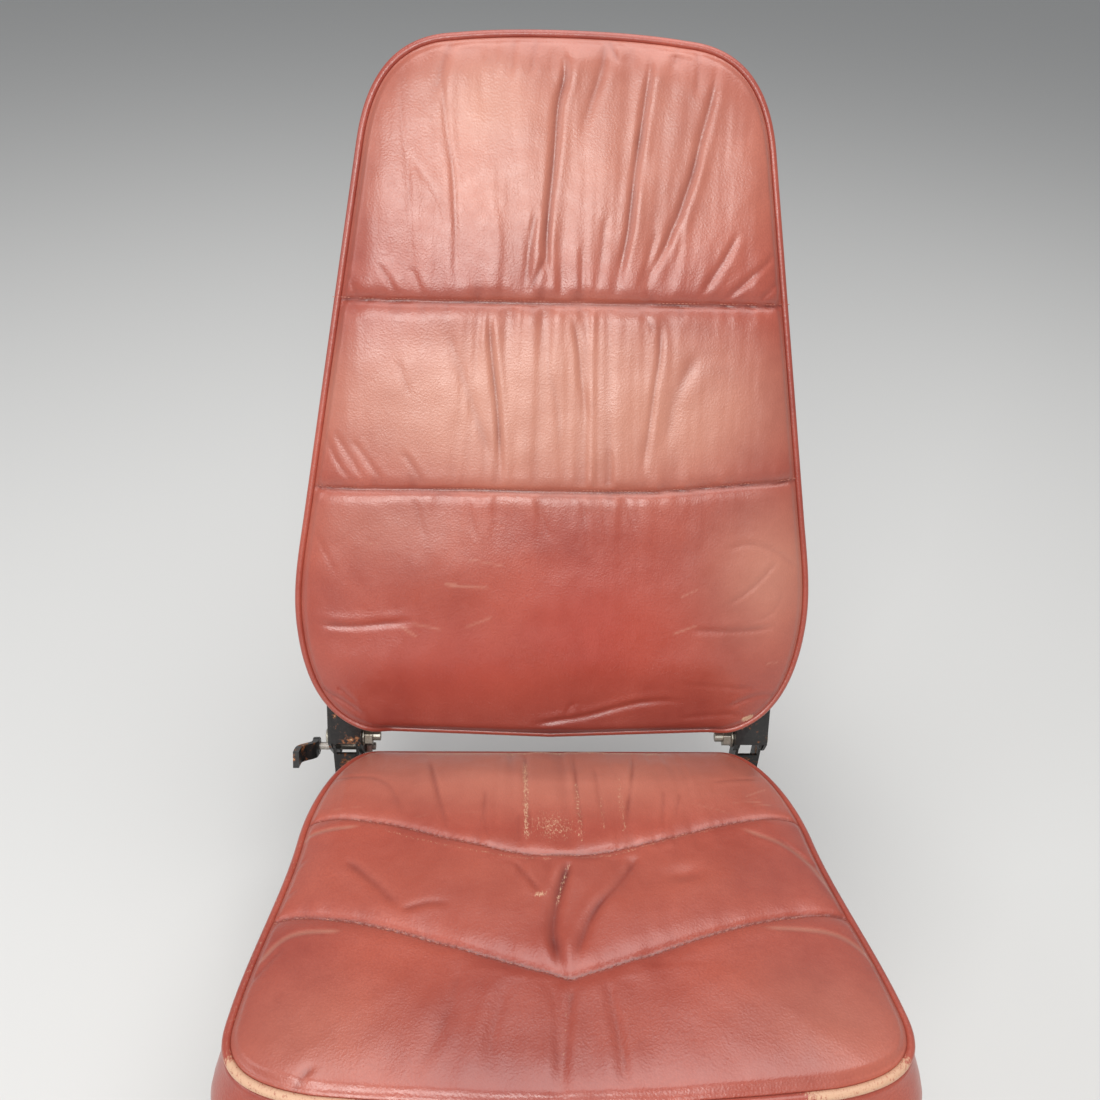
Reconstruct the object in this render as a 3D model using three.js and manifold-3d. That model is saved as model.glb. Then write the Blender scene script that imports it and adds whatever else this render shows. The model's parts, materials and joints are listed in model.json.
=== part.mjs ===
// A high-backed leather sports seat. Its back reclines on two side hinges, a clamp lever holds the
// chosen angle, and the whole seat slides on a pair of floor rails.
//
// Lengths are in millimetres. The origin is on the floor under the middle of the seat, +X is to the
// right as the seat is seen from the front, +Y is towards its back and +Z is up. The seat faces -Y,
// and "left" is the -X side, the side with the clamp lever.

import * as THREE from 'three';
import { mergeVertices } from 'three/addons/utils/BufferGeometryUtils.js';
import Module from 'manifold-3d';

const wasm = await Module();
wasm.setup();

// ---- Driving dimensions ----

// Where the faces of the back and the cushion meet, and how each of them leans.
const meetY = 75;
const meetZ = 215;
const backLean = 20;
const cushionTilt = 12.5;

// Gaps
const gap = 0.3; // between pieces that touch
const platePlay = 0.4; // between hinge plates that slide on each other
const railPlay = 2; // between the runner's neck and the rail's lips

// Outline of the back, seen square on. Heights are measured up its face.
const backBottom = 2;
const backHeight = 664;
const backHalfWidth = 251;
const backBottomFlat = 160; // half-width of the straight bottom edge
const backWidestAt = 130;
const backHipHalfWidth = 240;
const backHipAt = 235;
const backShoulderHalfWidth = 184;
const backShoulderAt = 570;
const backTopHalfWidth = 100; // half-width of the nearly straight top edge
const backTopRise = 5; // how far the middle of the top stands above its ends

// Depth of the back
const backCrown = 17;
const backFoamDepth = 42; // at the bottom edge
const backFoamTaper = 12; // thinner by this much at the top
const backSeams = [268, 440]; // heights of the two cross seams
const bottomRoll = 22; // radius that the face turns under with, at the bottom

// Outline of the cushion, seen square on. Distances run forwards from where it meets the back.
const cushionRear = -5;
const cushionFront = 430;
const cushionRearCorner = [208, 38];
const cushionWaist = [230, 150];
const cushionHalfWidth = 248;
const cushionWidestAt = 355;
const cushionFrontFlat = 178;
const cushionFrontBow = 10; // how far the middle of the front edge stands ahead of its ends
const cushionSideBulge = 6;

// Height of the cushion
const cushionDepth = 95;
const cushionCrown = 14;
const cushionRearDrop = 12; // the rear edge is rolled down by this much
const cushionRearDropLength = 24;
const cushionSeams = [
  { at: 130, dip: 55, span: 200 }, // at its ends, further forward in the middle, half-width of the dip
  { at: 250, dip: 70, span: 225 },
];

// Cover, piping and straps
const leather = 2;
const boxingThickness = 2.4;
const boxingInset = 0.6; // from the outline
const pipingRadius = 3.4;
const strapThickness = 3;
const cushionStrapWidth = 50;
const cushionStrapsAt = [65, 155, 245, 335];
const backStrapWidth = 60;
const backStrapsAt = [200, 330];

// Back frame
const frameTubeRadius = 11;
const frameTubeWall = 2;
const sideTubeStart = 24;
const sideTubeStraightTo = 130;
const sideTubeInset = 30; // from the outline
const topTubeHalfLength = 95;
const lowerCrossAt = 86;
const middleCrossAt = 425;
const rearPanelThickness = 4;

// Hinge
const pivotBack = 28.3; // behind the back's face
const pivotUp = -4.6; // along the back's face
const hingeX = 192; // inner face of the hinge block
const hingeWidth = 33;
const sideTubeX = hingeX + hingeWidth / 2;
const hingePlate = 3;
const cushionRearFlat = hingeX - 20; // leaves the cushion's rear corners clear of the hinges
const bottomRollEnds = [hingeX - 32, hingeX - 2]; // the back's roll fades out between these half-widths
const blockWall = 3.2; // clear of the piping
const blockFace = 2 * pipingRadius + blockWall; // depth of the block's front wall behind the back's face
const blockBottom = -5;
const blockTop = 58;
const blockRear = 70;
const pivotLobe = 14;
const pivotRadius = 5;
const washerRadius = 10;
const washerThickness = 2;
const nutFlats = 17;
const nutHeight = 8;
const boltTail = 8;
const pivotHead = { radius: 9, height: 2 };
const pivotCap = { radius: 7, from: 1.5, to: 3.5 }; // domed middle of the pivot bolt's head
const blockShoulder = 12; // cut off the block's upper front corner

// Clamp that holds the reclined angle
const clampRadius = 41.5; // of the shaft's circle about the pivot
const clampAngle = -61; // where the shaft is at rest, about +X from +Y
const foldForward = 30;
const foldBack = 30;
const shaftRadius = 4;
const clampLobe = 9.5;
const clampNutFlats = 13;
const clampNutHeight = 6;
const quadrantRoot = 9; // inner radius, inside the post's head
const quadrantMargin = 11; // beyond each end of the slot
const quadrantOuter = 52;
const slotSpare = 0.6; // room past the shaft at each end of the slot
const leverThickness = 6;
const leverHeight = 17;
const leverOut = 14; // how far the lever's arm stands outside its hub
const leverReach = 46;
const leverRise = 28; // degrees above level, forwards
const hubRadius = 9;
const hubStart = hingeX + hingeWidth + 16; // distance of the hub's inner face from the middle plane
const hubLength = 7;

// Hinge posts
const postHead = 13;
const postBoltSize = { radius: 4, flats: 13, head: 5.3, nut: 6.5, tail: 3 };
const postNeck = 11;
const postFootFront = -16; // from the pivot
const postFootRear = 26;
const postFootTop = -52;
const postBottom = 38;
const postOuterBottom = 112; // the outer plate stops above the bolts
const postBoltsAt = [58, 96];
const postBoltY = 9; // behind the pivot

// Seat frame and runners
const railX = hingeX - 12;
const railLength = 420;
const railCentreY = -60;
const railWidth = 38;
const railHeight = 17;
const railWall = 2.5;
const latchFlange = 17;
const latchHoles = 11;
const latchPitch = 16;
const latchHoleLength = 9;
const runnerLength = 360;
const runnerNeck = 14;
const runnerFoot = 28;
const runnerTop = 28;
const runnerFlange = 3;
const slideThickness = 3.4;
const slideBoltOffset = 14;
const slideBoltSpacing = 300;
const sidePlate = 3;
const sidePlateOuter = hingeX + hingePlate;
const sidePlateFront = 378; // forwards along the cushion
const sidePlateRearY = 150;
const topFlangeWidth = 27;
const crossTubeRadius = 12.5;
const crossTubeWall = 2;
const frontCrossAt = 350;
const rearCrossY = 61;
const rearCrossZ = 82;

// Slide catch
const catchY = -120;
const catchZ = 48;
const catchRodRadius = 5;
const catchRodEnd = sidePlateOuter + 4;
const tongueReach = 26;
const tongueWidth = 5;
const tongueLength = 6;
const tongueClear = 0.7; // above the latch flange
const catchLeverForward = 225;
const catchLeverRise = 72;
const gripLength = 90;
const gripRadius = 10;
const springWire = 1;
const springCoil = 7.4;
const springTurns = 4;
const springX = 40;

// ---- Materials ----

function material(color, roughness, metalness) {
  return new THREE.MeshStandardMaterial({ color, roughness, metalness });
}

const finish = {
  leather: () => material(0x8e3b37, 0.45, 0),
  piping: () => material(0x7d312e, 0.5, 0),
  foam: () => material(0xd8c07a, 0.95, 0),
  webbing: () => material(0x1b1b1b, 0.9, 0),
  blackPaint: () => material(0x1a1a18, 0.45, 0.5),
  greyPaint: () => material(0x2b2c2d, 0.5, 0.5),
  steel: () => material(0xb9b7ad, 0.32, 1),
  zinc: () => material(0xa9a794, 0.4, 1),
  nylon: () => material(0xd9d6cc, 0.6, 0),
  bronze: () => material(0x8f6b3a, 0.45, 1),
  vinyl: () => material(0x2a1a19, 0.6, 0),
  plastic: () => material(0x141414, 0.55, 0),
};

// ---- Solids ----

// A closed mesh as a solid that can be joined and cut.
function solid(geometry) {
  const bare = geometry.clone();
  for (const name of Object.keys(bare.attributes)) {
    if (name !== 'position') bare.deleteAttribute(name);
  }
  const merged = mergeVertices(bare, 1e-4);
  return new wasm.Manifold(new wasm.Mesh({
    numProp: 3,
    vertProperties: new Float32Array(merged.attributes.position.array),
    triVerts: new Uint32Array(merged.index.array),
  }));
}

function geometryOf(body) {
  const mesh = body.getMesh();
  const geometry = new THREE.BufferGeometry();
  geometry.setAttribute('position', new THREE.BufferAttribute(mesh.vertProperties, 3));
  geometry.setIndex(new THREE.BufferAttribute(mesh.triVerts, 1));
  geometry.computeVertexNormals();
  return geometry;
}

function joined(...geometries) {
  return geometryOf(geometries.map(solid).reduce((whole, piece) => whole.add(piece)));
}

function cut(geometry, ...cutters) {
  return geometryOf(cutters.map(solid).reduce((whole, piece) => whole.subtract(piece), solid(geometry)));
}

function common(geometry, other) {
  return geometryOf(solid(geometry).intersect(solid(other)));
}

// The same geometry on the other side of the middle plane, with its faces still pointing out.
function mirrored(geometry) {
  const copy = geometry.index ? geometry.toNonIndexed() : geometry.clone();
  const position = copy.attributes.position;
  for (let i = 0; i < position.count; i += 3) {
    const corners = [0, 1, 2].map((k) => new THREE.Vector3().fromBufferAttribute(position, i + k));
    [0, 2, 1].forEach((k, place) => position.setXYZ(i + place, -corners[k].x, corners[k].y, corners[k].z));
  }
  copy.computeVertexNormals();
  return copy;
}

// Turns a profile drawn in Y and Z, and extruded, so that its thickness runs along +X from x.
function plateAcross(shape, x, thickness) {
  const settings = { depth: thickness, bevelEnabled: false, curveSegments: 6 };
  const geometry = new THREE.ExtrudeGeometry(shape, settings);
  const turn = new THREE.Matrix4().makeBasis(
    new THREE.Vector3(0, 1, 0), new THREE.Vector3(0, 0, 1), new THREE.Vector3(1, 0, 0));
  return geometry.applyMatrix4(turn).translate(x, 0, 0);
}

// Turns a profile drawn in X and Z, and extruded, so that its length runs along Y about centreY.
function barAlong(shape, centreY, length) {
  const geometry = new THREE.ExtrudeGeometry(shape, { depth: length, bevelEnabled: false });
  const turn = new THREE.Matrix4().makeBasis(
    new THREE.Vector3(1, 0, 0), new THREE.Vector3(0, 0, 1), new THREE.Vector3(0, -1, 0));
  return geometry.applyMatrix4(turn).translate(0, centreY + length / 2, 0);
}

function polygon(points) {
  return new THREE.Shape(points.map(([u, v]) => new THREE.Vector2(u, v)));
}

function boxBetween(low, high) {
  const size = high.map((value, i) => value - low[i]);
  const middle = high.map((value, i) => (value + low[i]) / 2);
  return new THREE.BoxGeometry(...size).translate(...middle);
}

// A rod along X. Six sides give a hexagon measured across its corners.
function rodAcross(radius, x0, x1, y, z, sides = 14) {
  const geometry = new THREE.CylinderGeometry(radius, radius, x1 - x0, sides);
  return geometry.rotateZ(-Math.PI / 2).translate((x0 + x1) / 2, y, z);
}

function rodUp(radius, x, y, z0, z1, sides = 12) {
  const geometry = new THREE.CylinderGeometry(radius, radius, z1 - z0, sides);
  return geometry.rotateX(Math.PI / 2).translate(x, y, (z0 + z1) / 2);
}

function acrossCorners(flats) {
  return flats / Math.sqrt(3);
}

function ringAcross(outer, inner, x0, x1, y, z, sides = 14) {
  return cut(rodAcross(outer, x0, x1, y, z, sides), rodAcross(inner, x0 - 1, x1 + 1, y, z));
}

// An open-ended tube along a path.
function tubeAlong(path, radius, wall, steps, sides = 10) {
  const section = new THREE.Shape();
  section.absarc(0, 0, radius, 0, 2 * Math.PI, false);
  const bore = new THREE.Path();
  bore.absarc(0, 0, radius - wall, 0, 2 * Math.PI, true);
  section.holes.push(bore);
  return swept(section, path, steps, sides);
}

// A circle's outline gets two points for each curve segment.
function swept(section, path, steps, sides) {
  return new THREE.ExtrudeGeometry(section, {
    extrudePath: path, steps, curveSegments: sides / 2, bevelEnabled: false,
  });
}

function wireAlong(path, radius, steps, sides = 6) {
  const section = new THREE.Shape();
  section.absarc(0, 0, radius, 0, 2 * Math.PI, false);
  return swept(section, path, steps, sides);
}

// A closed skin through loops that have equally many points. It is capped at both ends, or else its
// last loop joins its first.
function loft(loops, capped = true) {
  const points = loops.flat();
  const count = loops[0].length;
  const faces = [];
  const bands = capped ? loops.length - 1 : loops.length;
  for (let band = 0; band < bands; band += 1) {
    const low = band * count;
    const high = ((band + 1) % loops.length) * count;
    for (let i = 0; i < count; i += 1) {
      const next = (i + 1) % count;
      faces.push(low + i, low + next, high + next, low + i, high + next, high + i);
    }
  }
  if (capped) {
    for (const [loop, order] of [[0, 1], [loops.length - 1, -1]]) {
      const middle = loops[loop].reduce((sum, p) => sum.map((value, k) => value + p[k] / count), [0, 0, 0]);
      points.push(middle);
      for (let i = 0; i < count; i += 1) {
        const here = loop * count + i;
        const next = loop * count + ((i + 1) % count);
        faces.push(...(order > 0 ? [next, here, points.length - 1] : [here, next, points.length - 1]));
      }
    }
  }
  const geometry = new THREE.BufferGeometry();
  geometry.setAttribute('position', new THREE.Float32BufferAttribute(points.flat(), 3));
  geometry.setIndex(faces);
  const outward = signedVolume(geometry) > 0;
  if (!outward) geometry.setIndex(faces.reverse());
  geometry.computeVertexNormals();
  return geometry;
}

function signedVolume(geometry) {
  const corners = [new THREE.Vector3(), new THREE.Vector3(), new THREE.Vector3()];
  const { index, attributes } = geometry;
  let volume = 0;
  for (let i = 0; i < index.count; i += 3) {
    corners.forEach((corner, k) => corner.fromBufferAttribute(attributes.position, index.getX(i + k)));
    volume += corners[0].dot(corners[1].clone().cross(corners[2])) / 6;
  }
  return volume;
}

// ---- Outlines ----

// Points along half an outline, closer together on its curves, then mirrored into a closed loop.
function closedOutline(half, spacing) {
  const right = [];
  for (const curve of half.curves) {
    const bends = curve.isLineCurve ? 2.5 : 1;
    const count = Math.max(1, Math.round(curve.getLength() / (spacing * bends)));
    const points = curve.getPoints(count);
    right.push(...points.slice(0, -1));
  }
  right.push(half.curves.at(-1).getPoint(1));
  const left = right.slice(1, -1).reverse().map((p) => new THREE.Vector2(-p.x, p.y));
  return [...right, ...left];
}

// An anticlockwise outline moved inwards by a distance.
function inset(outline, distance) {
  const count = outline.length;
  return outline.map((point, i) => {
    const before = outline[(i + count - 1) % count];
    const after = outline[(i + 1) % count];
    const first = point.clone().sub(before).normalize();
    const second = after.clone().sub(point).normalize();
    const inward = new THREE.Vector2(-first.y - second.y, first.x + second.x).normalize();
    const stretch = Math.sqrt((1 + first.dot(second)) / 2);
    return point.clone().addScaledVector(inward, distance / stretch);
  });
}

function shrunk(outline, centre, share) {
  return outline.map((p) => p.clone().sub(centre).multiplyScalar(share).add(centre));
}

function backHalfOutline() {
  const half = new THREE.Path();
  const corner = backHalfWidth - backBottomFlat;
  half.moveTo(0, backBottom);
  half.lineTo(backBottomFlat, backBottom + 6);
  half.bezierCurveTo(
    backBottomFlat + 0.6 * corner, backBottom + 10,
    backHalfWidth - 5, backWidestAt - 80,
    backHalfWidth, backWidestAt);
  half.bezierCurveTo(
    backHalfWidth + 2, backWidestAt + 35,
    backHipHalfWidth + 7, backHipAt - 40,
    backHipHalfWidth, backHipAt);
  half.lineTo(backShoulderHalfWidth, backShoulderAt);
  half.bezierCurveTo(
    backShoulderHalfWidth - 7, backShoulderAt + 42,
    backTopHalfWidth + 58, backHeight - backTopRise - 4,
    backTopHalfWidth, backHeight - backTopRise);
  half.quadraticCurveTo(0.6 * backTopHalfWidth, backHeight, 0, backHeight);
  return half;
}

function cushionHalfOutline() {
  const half = new THREE.Path();
  const [cornerX, cornerT] = cushionRearCorner;
  const [waistX, waistT] = cushionWaist;
  const frontEnds = cushionFront - cushionFrontBow;
  half.moveTo(0, cushionRear);
  half.lineTo(cushionRearFlat, cushionRear);
  half.bezierCurveTo(cushionRearFlat + 14, cushionRear, cornerX - 12, cornerT - 26, cornerX, cornerT);
  half.bezierCurveTo(cornerX + 10, cornerT + 24, waistX - 1, waistT - 50, waistX, waistT);
  half.bezierCurveTo(
    waistX + 1, waistT + 70,
    cushionHalfWidth - 1, cushionWidestAt - 65,
    cushionHalfWidth, cushionWidestAt);
  half.bezierCurveTo(
    cushionHalfWidth + 0.5, cushionWidestAt + 40,
    cushionFrontFlat + 44, frontEnds - 8,
    cushionFrontFlat, frontEnds);
  half.quadraticCurveTo(cushionFrontFlat / 2, cushionFront, 0, cushionFront);
  return half;
}

const backOutline = closedOutline(backHalfOutline(), 38);
const backCentre = new THREE.Vector2(0, 0.45 * backHeight);
const cushionOutline = closedOutline(cushionHalfOutline(), 38);
const cushionCentre = new THREE.Vector2(0, 0.5 * cushionFront);

// Height of a crowned pad over its edge, where share is 1 at the edge and 0 in the middle.
function crown(height, share) {
  return height * (1 - share ** 3.5) ** 0.8;
}

const underPiping = 2 * pipingRadius + 2 * gap;
const crownShares = [1, 0.95, 0.84, 0.66, 0.42, 0.16];

// ---- Back ----

// How far the back's face is rolled under at a point near its bottom edge.
function rollUnder(point) {
  const [inner, outer] = bottomRollEnds;
  const fade = 1 - THREE.MathUtils.smoothstep(Math.abs(point.x), inner, outer);
  const edge = backBottom + 6 * Math.min(1, Math.abs(point.x) / backBottomFlat);
  const along = THREE.MathUtils.clamp(1 - (point.y - edge) / bottomRoll, 0, 1);
  return fade * bottomRoll * (1 - Math.sqrt(1 - along ** 2));
}

function foamBack(height) {
  return -(backFoamDepth - backFoamTaper * height / backHeight);
}

// Places on the back: x, then depth in front of its face, then height up it.
function onBack(point, depth) {
  return [point.x, -depth, point.y];
}

// The roll along the line of the piping, which all that is sewn to it follows.
const edgeRoll = inset(backOutline, pipingRadius).map(rollUnder);

function backFaceLoops(insetBy, lowerBy) {
  const edge = inset(backOutline, insetBy);
  return crownShares.map((share) => shrunk(edge, backCentre, share).map((p, i) => {
    const roll = share === 1 ? edgeRoll[i] : rollUnder(p);
    return onBack(p, crown(backCrown, share) - roll - lowerBy);
  }));
}

const tubeDepth = (height) => foamBack(height) - strapThickness - 1 - frameTubeRadius;
const rearPanelFront = (height) => tubeDepth(height) - frameTubeRadius - 1.5;
const boxingRear = (height) => rearPanelFront(height) - rearPanelThickness - 6;

// The room that a hinge block needs in the soft parts around it.
function hingeRoom(frontDepth) {
  const clear = 1.5;
  const right = boxBetween(
    [hingeX - clear, frontDepth, backBottom - 40],
    [hingeX + hingeWidth + clear, 120, blockTop + clear]);
  return [right, mirrored(right)];
}

function backPanels() {
  const edgeInset = 2 * pipingRadius + gap;
  const outer = backFaceLoops(edgeInset, 0);
  const inner = backFaceLoops(edgeInset, leather);
  const cover = loft([...inner.reverse(), ...outer]);
  const heights = [-100, ...backSeams, backHeight + 100];
  return ['lower', 'middle', 'upper'].map((name, i) => {
    const slab = boxBetween(
      [-2 * backHalfWidth, -200, heights[i] + gap / 2],
      [2 * backHalfWidth, 200, heights[i + 1] - gap / 2]);
    return [`back_panel_${name}`, common(cover, slab)];
  });
}

function backFoam() {
  const wall = inset(backOutline, boxingThickness + 2 * gap + 0.6);
  const face = backFaceLoops(2 * pipingRadius + gap, leather + gap);
  const loops = [
    ...face.reverse(),
    inset(backOutline, 2 * pipingRadius + gap).map((p, i) => onBack(p, -underPiping - edgeRoll[i])),
    wall.map((p, i) => onBack(p, -underPiping - edgeRoll[i])),
    wall.map((p) => onBack(p, foamBack(p.y))),
  ];
  return cut(loft(loops), ...hingeRoom(blockFace - 0.8));
}

function backPiping() {
  const line = inset(backOutline, pipingRadius);
  return pipingLoop(line.map((p, i) => onBack(p, -pipingRadius - edgeRoll[i])), [0, 1, 0]);
}

// A round cord through a closed loop of points, lying flat across the direction called normal.
function pipingLoop(points, normal, sides = 8) {
  const up = new THREE.Vector3(...normal);
  const centres = points.map((p) => new THREE.Vector3(...p));
  const count = centres.length;
  const sections = centres.map((centre, i) => {
    const ahead = centres[(i + 1) % count].clone().sub(centres[(i + count - 1) % count]).normalize();
    const across = ahead.clone().cross(up).normalize();
    const over = across.clone().cross(ahead);
    return Array.from({ length: sides }, (_, k) => {
      const angle = 2 * Math.PI * k / sides;
      return centre.clone()
        .addScaledVector(across, pipingRadius * Math.cos(angle))
        .addScaledVector(over, pipingRadius * Math.sin(angle))
        .toArray();
    });
  });
  return loft(sections, false);
}

function backBoxing() {
  const outside = inset(backOutline, boxingInset);
  const inside = inset(backOutline, boxingInset + boxingThickness);
  const front = (i) => -(2 * pipingRadius + gap) - edgeRoll[i];
  const loops = [
    outside.map((p, i) => onBack(p, front(i))),
    outside.map((p) => onBack(p, boxingRear(p.y))),
    inside.map((p) => onBack(p, boxingRear(p.y))),
    inside.map((p, i) => onBack(p, front(i))),
  ];
  return cut(loft(loops, false), ...hingeRoom(blockFace - 1));
}

function backRearPanel() {
  const edge = inset(backOutline, boxingInset + boxingThickness + gap);
  const panel = loft([
    edge.map((p) => onBack(p, rearPanelFront(p.y) - rearPanelThickness)),
    edge.map((p) => onBack(p, rearPanelFront(p.y))),
  ]);
  return cut(panel, ...hingeRoom(blockFace));
}

function sideTubePoint(height) {
  const share = (height - backHipAt) / (backShoulderAt - backHipAt);
  const outlineX = backHipHalfWidth + share * (backShoulderHalfWidth - backHipHalfWidth);
  return Math.min(sideTubeX, outlineX - sideTubeInset);
}

function framePoint(x, height) {
  return new THREE.Vector3(x, -tubeDepth(height), height);
}

function sideTube() {
  const top = backHeight - sideTubeInset;
  const bendFrom = top - 62;
  const path = new THREE.CatmullRomCurve3([
    framePoint(sideTubeX, sideTubeStart),
    framePoint(sideTubeX, sideTubeStraightTo),
    framePoint(sideTubePoint(260), 260),
    framePoint(sideTubePoint(middleCrossAt), middleCrossAt),
    framePoint(sideTubePoint(bendFrom), bendFrom),
    framePoint(sideTubePoint(bendFrom) - 13, top - 19),
    framePoint(topTubeHalfLength + 22, top),
    framePoint(topTubeHalfLength + gap, top),
  ], false, 'centripetal');
  return tubeAlong(path, frameTubeRadius, frameTubeWall, 22, 8);
}

function crossTube(halfLength, height) {
  const path = new THREE.LineCurve3(framePoint(-halfLength, height), framePoint(halfLength, height));
  return tubeAlong(path, frameTubeRadius, frameTubeWall, 1, 8);
}

function sideTubeAt(height) {
  return height < sideTubeStraightTo ? sideTubeX : sideTubePoint(height);
}

function backCrossTubes() {
  const clear = frameTubeRadius + 3 * gap;
  return [
    ['back_lower_cross_tube', crossTube(sideTubeAt(lowerCrossAt) - clear, lowerCrossAt)],
    ['back_middle_cross_tube', crossTube(sideTubeAt(middleCrossAt + frameTubeRadius) - clear, middleCrossAt)],
    ['back_top_tube', crossTube(topTubeHalfLength - 2 * gap, backHeight - sideTubeInset)],
  ];
}

function backStrap(height) {
  const half = sideTubeAt(height) - 2;
  const low = height - backStrapWidth / 2;
  const high = height + backStrapWidth / 2;
  const corners = [[-half, low], [half, low], [half, high], [-half, high]].map(
    ([x, y]) => new THREE.Vector2(x, y));
  return loft([
    corners.map((p) => onBack(p, foamBack(p.y) - gap)),
    corners.map((p) => onBack(p, foamBack(p.y) - gap - strapThickness)),
  ]);
}

// ---- Hinge ----

// Places that the hinge needs, in the back's own directions: depth behind its face, then height up it.
const pivotOnBack = [pivotBack, pivotUp];
const lean = THREE.MathUtils.degToRad(backLean);
const pivotY = meetY + pivotBack * Math.cos(lean) + pivotUp * Math.sin(lean);
const pivotZ = meetZ - pivotBack * Math.sin(lean) + pivotUp * Math.cos(lean);

// The clamp shaft's place from the pivot, level and upright.
const clampTurn = THREE.MathUtils.degToRad(clampAngle);
const clampDy = clampRadius * Math.cos(clampTurn);
const clampDz = clampRadius * Math.sin(clampTurn);

// The same place in the back's own directions.
const clampOnBack = [
  pivotBack + clampDy * Math.cos(lean) - clampDz * Math.sin(lean),
  pivotUp + clampDy * Math.sin(lean) + clampDz * Math.cos(lean),
];

const hingeOuter = hingeX + hingeWidth;
const shaftBore = shaftRadius + gap;
const pivotBore = pivotRadius + gap;

function cheekShape() {
  const [y, z] = pivotOnBack;
  const shape = new THREE.Shape();
  shape.moveTo(blockFace, blockBottom);
  shape.lineTo(blockFace, blockTop - blockShoulder);
  shape.lineTo(blockFace + blockShoulder, blockTop);
  shape.lineTo(blockRear, blockTop);
  shape.lineTo(blockRear, sideTubeStart);
  shape.lineTo(blockRear - 22, sideTubeStart - 14);
  shape.absarc(y, z, pivotLobe, 0.1, -0.78 * Math.PI, true);
  return shape;
}

// A tapered link with a round end about each of two places.
function linkShape([y0, z0], r0, [y1, z1], r1) {
  const along = Math.atan2(z1 - z0, y1 - y0);
  const spread = Math.acos((r0 - r1) / Math.hypot(y1 - y0, z1 - z0));
  const shape = new THREE.Shape();
  shape.absarc(y0, z0, r0, along + spread, along - spread + 2 * Math.PI, false);
  shape.absarc(y1, z1, r1, along - spread, along + spread, false);
  return shape;
}

// The right-hand block: a folded channel with a front wall and two cheeks.
function hingeBlock(withClamp) {
  const pieces = [
    boxBetween(
      [hingeX, blockFace, blockBottom],
      [hingeOuter, blockFace + hingePlate, blockTop - blockShoulder]),
  ];
  const bores = [rodAcross(pivotBore, hingeX - 1, hingeOuter + 1, ...pivotOnBack)];
  for (const x of [hingeX, hingeOuter - hingePlate]) {
    pieces.push(plateAcross(cheekShape(), x, hingePlate));
    if (withClamp) {
      pieces.push(plateAcross(linkShape(pivotOnBack, pivotLobe, clampOnBack, clampLobe), x, hingePlate));
    }
  }
  if (withClamp) bores.push(rodAcross(shaftBore, hingeX - 1, hingeOuter + 1, ...clampOnBack));
  return cut(joined(...pieces), ...bores);
}

function pivotBolt() {
  const tailEnd = hingeX - washerThickness - nutHeight - 2 * gap - boltTail;
  const head = hingeOuter + gap;
  return joined(
    rodAcross(pivotRadius, tailEnd, head + 1, ...pivotOnBack),
    rodAcross(pivotHead.radius, head, head + pivotHead.height, ...pivotOnBack),
    rodAcross(pivotCap.radius, head + pivotCap.from, head + pivotCap.to, ...pivotOnBack));
}

function pivotWasher() {
  return ringAcross(washerRadius, pivotBore, hingeX - gap - washerThickness, hingeX - gap, ...pivotOnBack);
}

function pivotNut() {
  const outer = hingeX - 2 * gap - washerThickness;
  return ringAcross(acrossCorners(nutFlats), pivotBore, outer - nutHeight, outer, ...pivotOnBack, 6);
}

// The left-hand clamp nut, on the inner end of the lever's shaft.
function clampNut() {
  const face = -(hingeX - gap);
  return ringAcross(acrossCorners(clampNutFlats), shaftBore, face, face + clampNutHeight, ...clampOnBack, 6);
}

const clampY = pivotY + clampDy;
const clampZ = pivotZ + clampDz;

function clampShaft() {
  const outer = -(hubStart + hubLength + 1.5);
  const inner = -(hingeX - 10);
  return rodAcross(shaftRadius, outer, inner, clampY, clampZ);
}

// A flat bar on edge that leaves the shaft's end, cranks outwards and then runs forwards and up.
function clampLever() {
  const centreLine = new THREE.SplineCurve([
    [-4, 0], [7, 0], [14, 1.5],
    [leverReach * 0.5, leverOut - 3], [leverReach * 0.66, leverOut], [leverReach, leverOut],
  ].map(([along, out]) => new THREE.Vector2(along, out)));
  const steps = 11;
  const sides = [[], []];
  for (let i = 0; i <= steps; i += 1) {
    const point = centreLine.getPoint(i / steps);
    const ahead = centreLine.getTangent(i / steps);
    const normal = new THREE.Vector2(-ahead.y, ahead.x).multiplyScalar(leverThickness / 2);
    sides[0].push(point.clone().sub(normal));
    sides[1].push(point.clone().add(normal));
  }
  const bar = new THREE.ExtrudeGeometry(
    new THREE.Shape([...sides[0], ...sides[1].reverse()]),
    { depth: leverHeight, bevelEnabled: false });
  bar.translate(0, 0, -leverHeight / 2);
  const rise = THREE.MathUtils.degToRad(leverRise);
  const forwards = new THREE.Vector3(0, -Math.cos(rise), Math.sin(rise));
  const outwards = new THREE.Vector3(-1, 0, 0);
  bar.applyMatrix4(new THREE.Matrix4().makeBasis(forwards, outwards, forwards.clone().cross(outwards)));
  bar.translate(-(hubStart + hubLength / 2), clampY, clampZ);
  const hub = rodAcross(hubRadius, -(hubStart + hubLength), -hubStart, clampY, clampZ);
  const bore = rodAcross(shaftBore, -(hubStart + 30), -(hubStart - 30), clampY, clampZ);
  return cut(joined(bar, hub), bore);
}

// ---- Hinge posts ----

const postInner = hingeX + hingePlate + platePlay;
const postOuter = hingeOuter - hingePlate - platePlay;

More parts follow.
